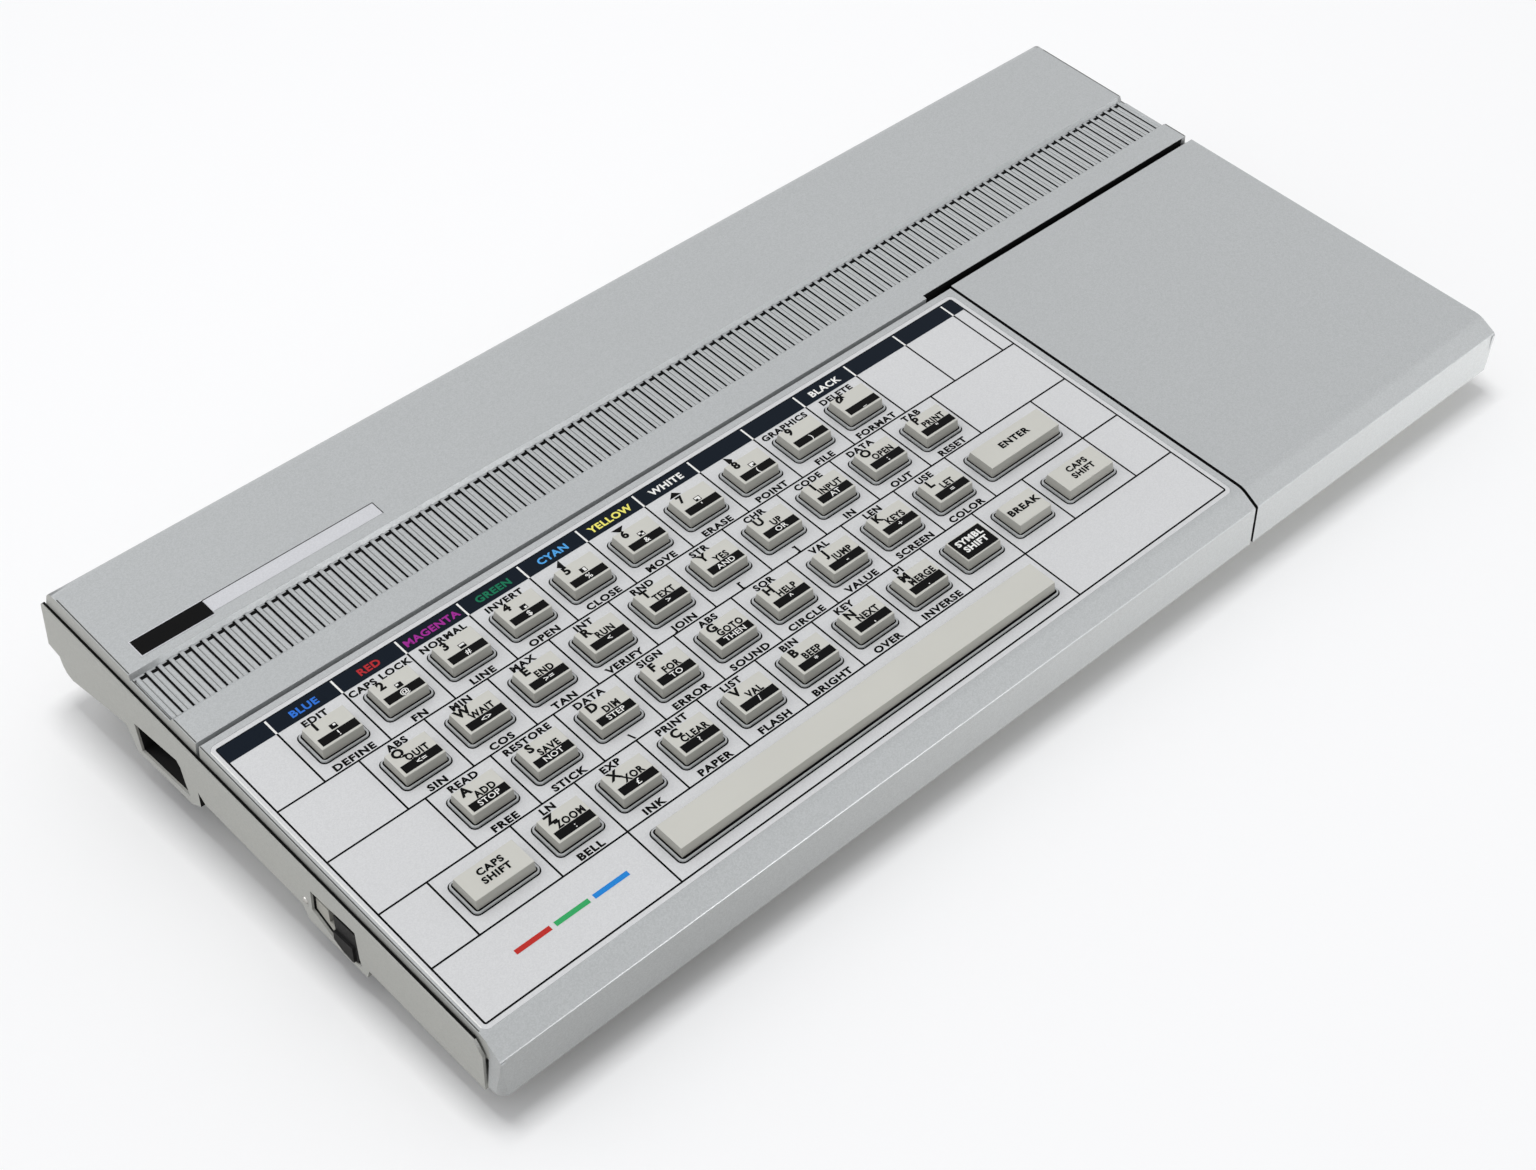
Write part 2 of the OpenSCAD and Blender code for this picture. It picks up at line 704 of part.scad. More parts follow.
module phono_socket(x) {
    translate([x, belly_rear + 3, jack_z]) rotate([90, 0, 0]) {
        difference() {
            cylinder(r = phono_r, h = 14);
            translate([0, 0, -1]) cylinder(r = 1.6, h = 9);
        }
    }
}

module rear_sockets() {
    color([0.20, 0.20, 0.21]) {
        for (x = [ear_x, mic_x]) round_socket(x, 3, jack_r, belly_rear, jack_depth, 9);
        round_socket(power_x, 4.35, power_r, belly_rear - 0.4, 10, 11);
        translate([power_x, belly_rear - 3, jack_z]) rotate([90, 0, 0]) cylinder(r = 0.9, h = 8);
        phono_socket(monitor_x);
        block([monitor_x - 6, 66, board_top], [monitor_x + 6, 78.6, 20]);
        translate([aerial_x, belly_rear + 3, jack_z]) rotate([90, 0, 0]) difference() {
            cylinder(r = phono_r, h = belly_rear + 3 - can_rear);
            translate([0, 0, -1]) cylinder(r = 1.6, h = 6);
        }
    }
}

// ---- Assembly ----

for (key = keys) key(key);
bottom_case();
top_case();
keyboard_bezel();
key_overlay();
cartridge_door();
cartridge_tray();
cartridge_socket();
dome_mat();
key_membrane();
keyboard_backplate();
main_board();
board_chips();
metal_shields();
side_connectors();
power_switch_knob();
rear_sockets();
case_screws();
rubber_feet();
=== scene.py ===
"""Finishes, printing and modelled shells of a vintage home computer, dressed on its CAD frame."""

from __future__ import annotations

import json
import logging
import math
from dataclasses import dataclass
from enum import Enum, auto

import bmesh
import bpy
from bmesh.types import BMEdge, BMesh, BMFace, BMVert
from bpy.types import Material, Mesh, Node, NodeSocket, NodeTree, Object
from mathutils import Matrix, Vector

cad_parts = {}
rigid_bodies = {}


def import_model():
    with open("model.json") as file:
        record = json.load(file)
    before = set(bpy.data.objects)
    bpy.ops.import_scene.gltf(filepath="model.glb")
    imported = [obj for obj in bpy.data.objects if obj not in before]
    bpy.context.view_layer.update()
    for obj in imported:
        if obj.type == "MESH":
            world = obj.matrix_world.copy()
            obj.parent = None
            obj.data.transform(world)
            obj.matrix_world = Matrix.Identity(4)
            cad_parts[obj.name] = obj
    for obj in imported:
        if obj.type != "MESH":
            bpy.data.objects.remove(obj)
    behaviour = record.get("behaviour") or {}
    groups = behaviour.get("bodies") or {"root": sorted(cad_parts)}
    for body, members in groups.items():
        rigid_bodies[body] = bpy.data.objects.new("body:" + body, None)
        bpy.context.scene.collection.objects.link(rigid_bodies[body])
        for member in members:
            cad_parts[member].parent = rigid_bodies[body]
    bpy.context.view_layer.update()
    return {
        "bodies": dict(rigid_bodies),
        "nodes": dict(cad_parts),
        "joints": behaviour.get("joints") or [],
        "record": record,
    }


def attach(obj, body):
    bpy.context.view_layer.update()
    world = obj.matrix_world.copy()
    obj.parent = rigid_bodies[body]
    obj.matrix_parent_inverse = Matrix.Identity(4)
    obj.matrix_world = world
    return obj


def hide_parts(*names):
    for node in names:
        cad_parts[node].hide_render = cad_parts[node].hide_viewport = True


log = logging.getLogger("home_computer")

MM = 0.001

Point = tuple[float, float]
Corner = tuple[float, float, float]
Colour = tuple[float, float, float]
WHITE: Colour = (1.0, 1.0, 1.0)


# ---- frames


@dataclass(frozen=True)
class Deck:
    """The sloping deck's own frame: x across, s back from the front wall, n above the deck, in mm."""

    tilt: float = math.radians(5.5)
    height: float = 24.0
    bevel_foot: Point = (0.33, -3.5)
    rear_heel: Point = (181.6, -21.2)

    def reach(self, s: float, n: float) -> float:
        """Horizontal distance of a deck point from the frame's start."""
        return s * math.cos(self.tilt) - n * math.sin(self.tilt)

    @property
    def start_y(self) -> float:
        """World Y of the deck frame's start, which centres the case on the origin."""
        return -(self.reach(*self.bevel_foot) + self.reach(*self.rear_heel)) / 2

    def matrix(self) -> Matrix:
        """Placement of the deck frame, in metres, for geometry drawn in millimetres."""
        place = Matrix.Translation((0.0, self.start_y * MM, self.height * MM))
        return place @ Matrix.Rotation(self.tilt, 4, "X") @ Matrix.Scale(MM, 4)


DECK = Deck()


@dataclass(frozen=True)
class Keyboard:
    """Places of the keys and of the grid printed round them, in deck millimetres."""

    pitch: float = 19.05
    grid_x: float = -163.15
    first_s: float = 94.25
    cap_w: float = 11.8
    cap_d: float = 9.1
    cap_top: float = 3.4
    rim_reach: float = 0.95
    overlay_top: float = -0.05
    left: float = -176.8
    right: float = 70.0
    front: float = 8.35
    rear: float = 109.2
    strip_front: float = 103.6

    def row_s(self, row: int) -> float:
        """Middle of a row of keys along the slope."""
        return self.first_s - row * self.pitch

    def line_s(self, row: float) -> float:
        """Printed line behind a row of keys."""
        return self.strip_front - row * self.pitch

    def x(self, across: float) -> float:
        """Place across the deck, counted from the left edge of the first key's cell."""
        return self.grid_x + across


KEYBOARD = Keyboard()


# ---- shader maths


@dataclass(frozen=True)
class Wire:
    """A number in a shader tree; its operators add Math nodes."""

    shading: Shading
    socket: NodeSocket

    def _math(self, operation: str, first: object, second: object) -> Wire:
        """Add one Math node.

        Args:
            operation: What it does.
            first: Its first value.
            second: Its second value.

        Returns:
            Its result.
        """
        node = self.shading.node("Math", {"operation": operation})
        self.shading.feed(node.inputs[0], first)
        self.shading.feed(node.inputs[1], second)
        return Wire(self.shading, node.outputs[0])

    def __add__(self, other: object) -> Wire:
        """Sum."""
        return self._math("ADD", self, other)

    def __radd__(self, other: object) -> Wire:
        """Sum, with the number on the left."""
        return self._math("ADD", other, self)

    def __sub__(self, other: object) -> Wire:
        """Difference."""
        return self._math("SUBTRACT", self, other)

    def __rsub__(self, other: object) -> Wire:
        """Difference, with the number on the left."""
        return self._math("SUBTRACT", other, self)

    def __mul__(self, other: object) -> Wire:
        """Product."""
        return self._math("MULTIPLY", self, other)

    def __or__(self, other: object) -> Wire:
        """The larger one, which joins two masks."""
        return self._math("MAXIMUM", self, other)


class Shading:
    """A shader tree under construction."""

    def __init__(self, tree: NodeTree, coordinates: str) -> None:
        """Start the tree empty, but for its texture coordinates.

        Args:
            tree: Tree that takes the nodes; it is cleared.
            coordinates: Kind of its texture coordinates, such as Object.
        """
        self.tree = tree
        tree.nodes.clear()
        self.coordinates = self.node("TexCoord").outputs[coordinates]

    def node(self, kind: str, settings: dict[str, object] | None = None, **values: object) -> Node:
        """Add a node.

        Args:
            kind: The node's type, without its prefix.
            settings: Properties set first, such as a Math node's operation.
            **values: Values or links of its named sockets, with underscores for spaces.

        Returns:
            The new node.
        """
        node = self.tree.nodes.new("ShaderNode" + kind)
        for name, value in (settings or {}).items():
            setattr(node, name, value)
        self.fill(node, **values)
        return node

    def fill(self, node: Node, **values: object) -> None:
        """Link or set a node's sockets, named with underscores for spaces."""
        for name, value in values.items():
            self.feed(node.inputs[name.replace("_", " ")], value)

    def feed(self, socket: NodeSocket, value: object) -> None:
        """Link or set a socket.

        Args:
            socket: Input of a node.
            value: Wire or output to link, or else a number or a colour without its alpha.
        """
        if isinstance(value, Wire):
            value = value.socket
        if isinstance(value, NodeSocket):
            self.tree.links.new(value, socket)
        else:
            socket.default_value = (*value, 1.0) if socket.type == "RGBA" else value

    def along(self, axis: str) -> Wire:
        """Place along one of the axes of the coordinates."""
        return Wire(self, self.node("SeparateXYZ", Vector=self.coordinates).outputs[axis])

    def ray(self, kind: str) -> Wire:
        """Whether it is met by a ray of a kind, such as Camera."""
        return Wire(self, self.node("LightPath").outputs[f"Is {kind} Ray"])


class Finish(Shading):
    """A procedural material under construction."""

    def __init__(self, name: str, metallic: float = 0.0, specular: float = 0.5) -> None:
        """Start a material with one Principled shader.

        Args:
            name: Name of the material.
            metallic: How far it is a metal.
            specular: Level of its reflection.
        """
        self.material = bpy.data.materials.new(name)
        self.material.use_nodes = True
        super().__init__(self.material.node_tree, "Object")
        self.shader = self.node("BsdfPrincipled", Metallic=metallic, Specular_IOR_Level=specular)
        self.node("OutputMaterial", Surface=self.shader.outputs[0])

    def noise(self, scale: float, detail: float = 2.0, place: NodeSocket | None = None) -> Wire:
        """Noise in object space or at another place, with its scale in features per metre."""
        vector = place or self.coordinates
        return Wire(self, self.node("TexNoise", Vector=vector, Scale=scale, Detail=detail).outputs[0])

    def flakes(self, scale: float) -> Wire:
        """A random grey for each small cell in object space."""
        cells = self.node("TexVoronoi", Vector=self.coordinates, Scale=scale)
        return Wire(self, self.node("SeparateColor", Color=cells.outputs["Color"]).outputs[0])

    def ramp(self, value: Wire, low: float, high: float) -> Wire:
        """Map a range of a number to 0 to 1, clamped."""
        node = self.node("MapRange", Value=value, From_Min=low, From_Max=high)
        return Wire(self, node.outputs[0])

    def mix(self, factor: object, first: object, second: object) -> NodeSocket:
        """Blend two colours.

        Args:
            factor: Share of the second one.
            first: Colour at a factor of 0.
            second: Colour at a factor of 1.

        Returns:
            Socket of the blended colour.
        """
        node = self.node("Mix", {"data_type": "RGBA"}, Factor=factor)
        for name, value in (("A", first), ("B", second)):
            self.feed(next(s for s in node.inputs if s.name == name and s.type == "RGBA"), value)
        return next(s for s in node.outputs if s.type == "RGBA")

    def uneven(self, middle: float, wire: Wire, swing: float) -> Wire:
        """A number that swings about its middle with a wire that runs from 0 to 1."""
        return middle + (wire - 0.5) * swing

    def dress(self, colour: object, roughness: object, height: Wire | None = None, depth_mm: float = 0.0) -> Material:
        """Give the material its colour and its skin.

        Args:
            colour: Base colour.
            roughness: Roughness.
            height: Relief from 0 to 1, if it has any.
            depth_mm: Depth of the relief.

        Returns:
            The finished material.
        """
        self.fill(self.shader, Base_Color=colour, Roughness=roughness)
        if height:
            bump = self.node("Bump", Height=height, Distance=depth_mm * MM, Strength=1.0)
            self.fill(self.shader, Normal=bump.outputs[0])
        return self.material


def shade(colour: Colour, factor: float) -> Colour:
    """A colour made lighter or darker."""
    return tuple(min(1.0, c * factor) for c in colour)


@dataclass(frozen=True)
class FlakedPlastic:
    """Silver-grey moulding with fine metallic flake and a satin skin."""

    name: str
    base: Colour
    flake: float = 0.10
    rough: float = 0.5
    metal: float = 0.12
    flakes_per_metre: float = 3600.0
    clouds_per_metre: float = 24.0
    cloud_range: Point = (0.3, 0.7)
    cloud_share: float = 0.15
    cloud_shade: float = 0.93
    scuffs_per_metre: float = 900.0
    scuff: float = 0.16
    grains_per_metre: float = 3200.0
    grain: float = 0.008

    def build(self) -> Material:
        """Make the material.

        Returns:
            The new material.
        """
        finish = Finish(self.name, self.metal)
        flakes = finish.flakes(self.flakes_per_metre)
        clouds = finish.ramp(finish.noise(self.clouds_per_metre, 3.0), *self.cloud_range)
        flaked = finish.mix(flakes, shade(self.base, 1.0 - self.flake), shade(self.base, 1.0 + self.flake))
        colour = finish.mix(clouds * self.cloud_share, flaked, shade(self.base, self.cloud_shade))
        roughness = finish.uneven(self.rough, finish.noise(self.scuffs_per_metre), self.scuff)
        return finish.dress(colour, roughness, finish.noise(self.grains_per_metre), self.grain)


@dataclass(frozen=True)
class MouldedPlastic:
    """Plain moulded plastic or rubber with a fine spark-eroded texture."""

    name: str
    base: Colour
    rough: float = 0.48
    grain: float = 0.012
    mottle: float = 0.03
    gloss: float = 0.4
    clouds_per_metre: float = 60.0
    cloud_range: Point = (0.3, 0.7)
    scuffs_per_metre: float = 1200.0
    scuff: float = 0.14
    grains_per_metre: float = 4200.0

    def build(self) -> Material:
        """Make the material.

        Returns:
            The new material.
        """
        finish = Finish(self.name, specular=self.gloss)
        clouds = finish.ramp(finish.noise(self.clouds_per_metre, 3.0), *self.cloud_range)
        colour = finish.mix(clouds, self.base, shade(self.base, 1.0 - self.mottle))
        roughness = finish.uneven(self.rough, finish.noise(self.scuffs_per_metre), self.scuff)
        return finish.dress(colour, roughness, finish.noise(self.grains_per_metre), self.grain)


@dataclass(frozen=True)
class Metal:
    """Rolled or plated metal with a faint grain along X."""

    name: str
    base: Colour
    rough: float = 0.32
    lines_per_metre: Corner = (60.0, 2400.0, 2400.0)
    line_depth: float = 0.004
    scuff: float = 0.3
    clouds_per_metre: float = 90.0
    cloud_range: Point = (0.35, 0.75)
    cloud_shade: float = 0.82

    def build(self) -> Material:
        """Make the material.

        Returns:
            The new material.
        """
        finish = Finish(self.name, 1.0)
        stretch = finish.node("Mapping", Vector=finish.coordinates, Scale=self.lines_per_metre)
        lines = finish.noise(1.0, 3.0, stretch.outputs[0])
        clouds = finish.ramp(finish.noise(self.clouds_per_metre, 4.0), *self.cloud_range)
        colour = finish.mix(clouds, self.base, shade(self.base, self.cloud_shade))
        return finish.dress(colour, finish.uneven(self.rough, lines, self.scuff), lines, self.line_depth)


@dataclass(frozen=True)
class Ink:
    """Screen-printed ink with a slight sheen."""

    name: str
    base: Colour
    rough: float = 0.5
    gloss: float = 0.06
    spots_per_metre: float = 2600.0
    spot_range: Point = (0.35, 0.65)
    spot_gain: float = 1.1
    spot_haze: float = 0.001
    scuffs_per_metre: float = 700.0
    scuff: float = 0.1

    def build(self) -> Material:
        """Make the material.

        Returns:
            The new material.
        """
        finish = Finish(self.name, specular=self.gloss)
        spots = finish.ramp(finish.noise(self.spots_per_metre), *self.spot_range)
        thin = tuple(min(1.0, c * self.spot_gain + self.spot_haze) for c in self.base)
        roughness = finish.uneven(self.rough, finish.noise(self.scuffs_per_metre), self.scuff)
        return finish.dress(finish.mix(spots, self.base, thin), roughness)


class Slot(Enum):
    """Material slots of the record."""

    SILVER = "silver_case_plastic"
    LOWER = "lower_case_plastic"
    OVERLAY = "printed_overlay"
    KEY = "key_plastic"
    BLACK = "black_plastic"
    SOCKET = "socket_plastic"
    DOME = "silicone_rubber"
    FILM = "membrane_film"
    STEEL = "steel_plate"
    BOARD = "circuit_board"
    CHIP = "chip_package"
    TIN = "tinned_steel"
    SCREW = "screw_steel"
    FOOT = "foot_rubber"


class Print(Enum):
    """Inks, painted shade and highlight, and thin trim."""

    BLACK = auto()
    SHADE_GREY = auto()
    CREASE_SHADE = auto()
    NAVY = auto()
    WHITE = auto()
    BLUE = auto()
    RED = auto()
    MAGENTA = auto()
    GREEN = auto()
    CYAN = auto()
    YELLOW = auto()
    BAR_RED = auto()
    BAR_GREEN = auto()
    BAR_BLUE = auto()
    LABEL = auto()
    SHADED_KEY_SIDE = auto()
    GOLD = auto()
    PLATED = auto()


FINISHES: dict[Enum, FlakedPlastic | MouldedPlastic | Metal | Ink] = {
    Slot.SILVER: FlakedPlastic("Silver_Case", (0.45, 0.465, 0.472), 0.08, 0.42, 0.25),
    # the lower case's finish, also laid on the upper shells' side walls as painted light
    Slot.LOWER: FlakedPlastic("Lower_Case_And_Painted_Side_Light", (0.42, 0.425, 0.405), 0.06, 0.5, 0.1),
    Slot.OVERLAY: FlakedPlastic("Overlay_Sheet", (0.64, 0.645, 0.655), 0.05, 0.36, 0.1),
    Slot.KEY: MouldedPlastic("Key_Cap", (0.59, 0.585, 0.54)),
    # black for the black parts, and also painted shade in gaps and openings
    Slot.BLACK: MouldedPlastic("Black_Moulding_And_Painted_Shade", (0.006, 0.006, 0.0065), 0.6, gloss=0.2),
    Slot.SOCKET: MouldedPlastic("Socket_Body", (0.02, 0.02, 0.022), 0.4),
    Slot.DOME: MouldedPlastic("Dome_Mat", (0.10, 0.105, 0.115), 0.6),
    Slot.FILM: MouldedPlastic("Membrane_Film", (0.62, 0.68, 0.72), 0.2),
    Slot.STEEL: Metal("Steel_Plate", (0.50, 0.51, 0.52)),
    Slot.BOARD: MouldedPlastic("Circuit_Board", (0.015, 0.10, 0.04), 0.35),
    Slot.CHIP: MouldedPlastic("Chip_Package", (0.014, 0.014, 0.015), 0.5),
    Slot.TIN: Metal("Tinned_Steel", (0.55, 0.56, 0.57)),
    Slot.SCREW: Metal("Screw_Steel", (0.32, 0.32, 0.33)),
    Slot.FOOT: MouldedPlastic("Foot_Rubber", (0.012, 0.012, 0.012), 0.7, 0.03),
    # black for print, and also painted shade in the vent slots and case seams
    Print.BLACK: Ink("Black_Ink_And_Painted_Shade", (0.002, 0.002, 0.0022)),
    # painted shade: a grey for the vents' shaded valleys
    Print.SHADE_GREY: Ink("Painted_Shade_Grey", (0.20, 0.205, 0.20)),
    # painted shade: a dark grey for the creases along the deck's edges
    Print.CREASE_SHADE: Ink("Painted_Crease_Shade", (0.09, 0.09, 0.085)),
    Print.NAVY: Ink("Ink_Navy", (0.004, 0.008, 0.015), 0.4),
    # white for print, and also a painted highlight on the overlay's edge
    Print.WHITE: Ink("White_Ink_And_Painted_Highlight", (0.78, 0.78, 0.76)),
    Print.BLUE: Ink("Ink_Blue", (0.03, 0.16, 0.62)),
    Print.RED: Ink("Ink_Red", (0.42, 0.025, 0.03)),
    Print.MAGENTA: Ink("Ink_Magenta", (0.32, 0.025, 0.27)),
    Print.GREEN: Ink("Ink_Green", (0.01, 0.16, 0.08)),
    Print.CYAN: Ink("Ink_Cyan", (0.08, 0.34, 0.72)),
    Print.YELLOW: Ink("Ink_Yellow", (0.80, 0.74, 0.16)),
    Print.BAR_RED: Ink("Bar_Red", (0.47, 0.03, 0.025)),
    Print.BAR_GREEN: Ink("Bar_Green", (0.04, 0.36, 0.12)),
    Print.BAR_BLUE: Ink("Bar_Blue", (0.02, 0.22, 0.62)),
    Print.LABEL: Ink("Label_Film", (0.60, 0.605, 0.63), 0.3),
    # painted shade: a darker copy of the key plastic for the keys' sides
    Print.SHADED_KEY_SIDE: MouldedPlastic("Key_Side_Painted_Shade", (0.40, 0.395, 0.36), 0.6),
    Print.GOLD: Metal("Gold_Plate", (0.80, 0.58, 0.22), 0.25),
    Print.PLATED: Metal("Nickel_Plate", (0.60, 0.59, 0.57), 0.22),
}


Palette = dict[Enum, Material]


# ---- pieces


def stand(name: str, shape: BMesh, *finishes: Material) -> Object:
    """Turn a finished bmesh into an object.

    Args:
        name: Name of the object.
        shape: Its mesh, in metres at its place; it is freed.
        *finishes: Its materials.

    Returns:
        The new object.
    """
    mesh = bpy.data.meshes.new(name)
    shape.to_mesh(mesh)
    shape.free()
    for finish in finishes:
        mesh.materials.append(finish)
    made = bpy.data.objects.new(name, mesh)
    bpy.context.scene.collection.objects.link(made)
    return made


def put(name: str, shape: BMesh, body: str, slot: Slot, *finishes: Material) -> Object:
    """Turn a finished bmesh, in metres at its place, into a piece that rides on a body.

    Args:
        name: Name of the piece.
        shape: Its mesh; it is freed.
        body: Body that it rides on.
        slot: Material slot of its finish; it is not used.
        *finishes: Its materials.

    Returns:
        The new piece.
    """
    piece = stand(name, shape, *finishes)
    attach(piece, body)
    log.info("%s: %d faces", name, len(piece.data.polygons))
    return piece


def bevel(shape: BMesh, geom: list, offset: float, segments: int, affect: str = "EDGES") -> dict[str, list]:
    """Bevel edges, or else corners.

    Args:
        shape: Mesh that holds them.
        geom: The edges or the corners.
        offset: Width of the bevel.
        segments: Steps across it.
        affect: EDGES or VERTICES.

    Returns:
        What the operator made.
    """
    return bmesh.ops.bevel(
        shape, geom=geom, offset=offset, offset_type="OFFSET", segments=segments, profile=0.5, affect=affect,
        clamp_overlap=True, material=-1,
    )


def square(shape: BMesh, place: Matrix, half: float = 0.5) -> BMFace:
    """Add a placed square, of unit sides unless told otherwise."""
    verts = bmesh.ops.create_grid(shape, x_segments=1, y_segments=1, size=half, matrix=place)["verts"]
    return verts[0].link_faces[0]


@dataclass(frozen=True)
class Edge:
    """How a shell's corners are eased, in millimetres."""

    radius: float = 0.3
    segments: int = 2
    sharp_degrees: float = 24.0
    shortest: float = 0.0


@dataclass(frozen=True)
class Tint:
    """Another finish for the faces whose middles lie in a box of the deck frame, in millimetres."""

    slot: Enum
    low: Corner
    high: Corner
    both_sides: bool = False

    def holds(self, middle: Vector) -> bool:
        """Whether a face's middle lies in the box."""
        x = abs(middle.x) if self.both_sides else middle.x
        return all(a <= m <= b for a, m, b in zip(self.low, (x, middle.y, middle.z), self.high))


@dataclass(frozen=True)
class Chamfer:
    """A wider easing of the long edges along one line of the deck's section, in millimetres."""

    s: float
    n: float
    width: float

    def holds(self, edge: BMEdge, to_deck: Matrix) -> bool:
        """Whether an edge runs along the line."""
        ends = [to_deck @ vert.co for vert in edge.verts]
        return all(abs(p.y - self.s) < 0.02 and abs(p.z - self.n) < 0.02 for p in ends)


@dataclass(frozen=True)
class Shell:
    """How one CAD node is stood in for; its faces are split at the places across the deck in cuts."""

    body: str
    edge: Edge
    tints: tuple[Tint, ...] = ()
    chamfer: Chamfer | None = None
    cuts: tuple[float, ...] = ()


@dataclass(frozen=True)
class Shells:
    """Copies of the frame's shells with eased corners and smooth shading."""

    frame: dict
    palette: Palette
    weld: float = 1e-6
    flat_degrees: float = 0.6

    def ease(self, node: str, slot: Slot, shell: Shell) -> Object:
        """Stand an eased copy in for a CAD node.

        Args:
            node: Name of the CAD node.
            slot: Material slot of its finish.
            shell: Its body, easing and tints.

        Returns:
            The new piece.
        """
        edge, to_deck = shell.edge, DECK.matrix().inverted()
        shape = bmesh.new()
        shape.from_mesh(self.frame["nodes"][node].data)
        bmesh.ops.remove_doubles(shape, verts=shape.verts, dist=self.weld)
        bmesh.ops.dissolve_limit(
            shape, angle_limit=math.radians(self.flat_degrees), use_dissolve_boundaries=False, verts=shape.verts,
            edges=shape.edges,
        )
        if shell.chamfer:
            wide = [e for e in shape.edges if shell.chamfer.holds(e, to_deck)]
            bevel(shape, wide, shell.chamfer.width * MM, 1)
        limit = math.radians(edge.sharp_degrees)
        sharp = [
            e for e in shape.edges
            if e.is_manifold and e.calc_face_angle(0.0) > limit and e.calc_length() > edge.shortest * MM
        ]
        bevel(shape, sharp, edge.radius * MM, edge.segments)
        for cut in shell.cuts:
            bmesh.ops.bisect_plane(
                shape, geom=[*shape.verts, *shape.edges, *shape.faces], plane_co=(cut * MM, 0.0, 0.0),
                plane_no=(1.0, 0.0, 0.0),
            )
        finishes = list(dict.fromkeys([slot, *(tint.slot for tint in shell.tints)]))
        for face in shape.faces:
            face.smooth = True
            middle = to_deck @ face.calc_center_median()
            for tint in shell.tints:
                if tint.holds(middle):
                    face.material_index = finishes.index(tint.slot)
        piece = put(node + "_shell", shape, shell.body, slot, *(self.palette[finish] for finish in finishes))
        normals = piece.modifiers.new("Even_Normals", "WEIGHTED_NORMAL")
        normals.keep_sharp = True
        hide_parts(node)
        return piece


# ---- printing


class Lettering:
    """Generic lettering cut as flat faces, with capitals one unit high."""

    def __init__(self) -> None:
        """Measure the capitals of the built-in face."""
        self._cut: dict[tuple[str, float], Mesh] = {}
        self._cap = 1.0
        self._cap = max(v.co.y for v in self.cut("H", 0.0).vertices)
        self._cut.clear()

    def cut(self, text: str, weight: float) -> Mesh:
        """Cut a text as a flat mesh, centred across and standing on its base line.

        Args:
            text: What it says.
            weight: How much its strokes are thickened, in cap heights.

        Returns:
            The mesh, which stays in the store.
        """
        if (text, weight) not in self._cut:
            curve = bpy.data.curves.new("Lettering", "FONT")
            curve.body = text
            curve.size = 1.0 / self._cap
            curve.offset = weight
            curve.space_character = 1.0 + 2.1 * weight
            curve.resolution_u = 3
            holder = bpy.data.objects.new("Lettering", curve)
            mesh = bpy.data.meshes.new_from_object(holder)
            across = [v.co.x for v in mesh.vertices]
            mesh.transform(Matrix.Translation((-(min(across) + max(across)) / 2, 0.0, 0.0)))
            self._cut[text, weight] = mesh
            bpy.data.objects.remove(holder)
            bpy.data.curves.remove(curve)
        return self._cut[text, weight]


@dataclass(frozen=True)
class Press:
    """The inks and the lettering that prints are made with."""

    palette: Palette
    lettering: Lettering


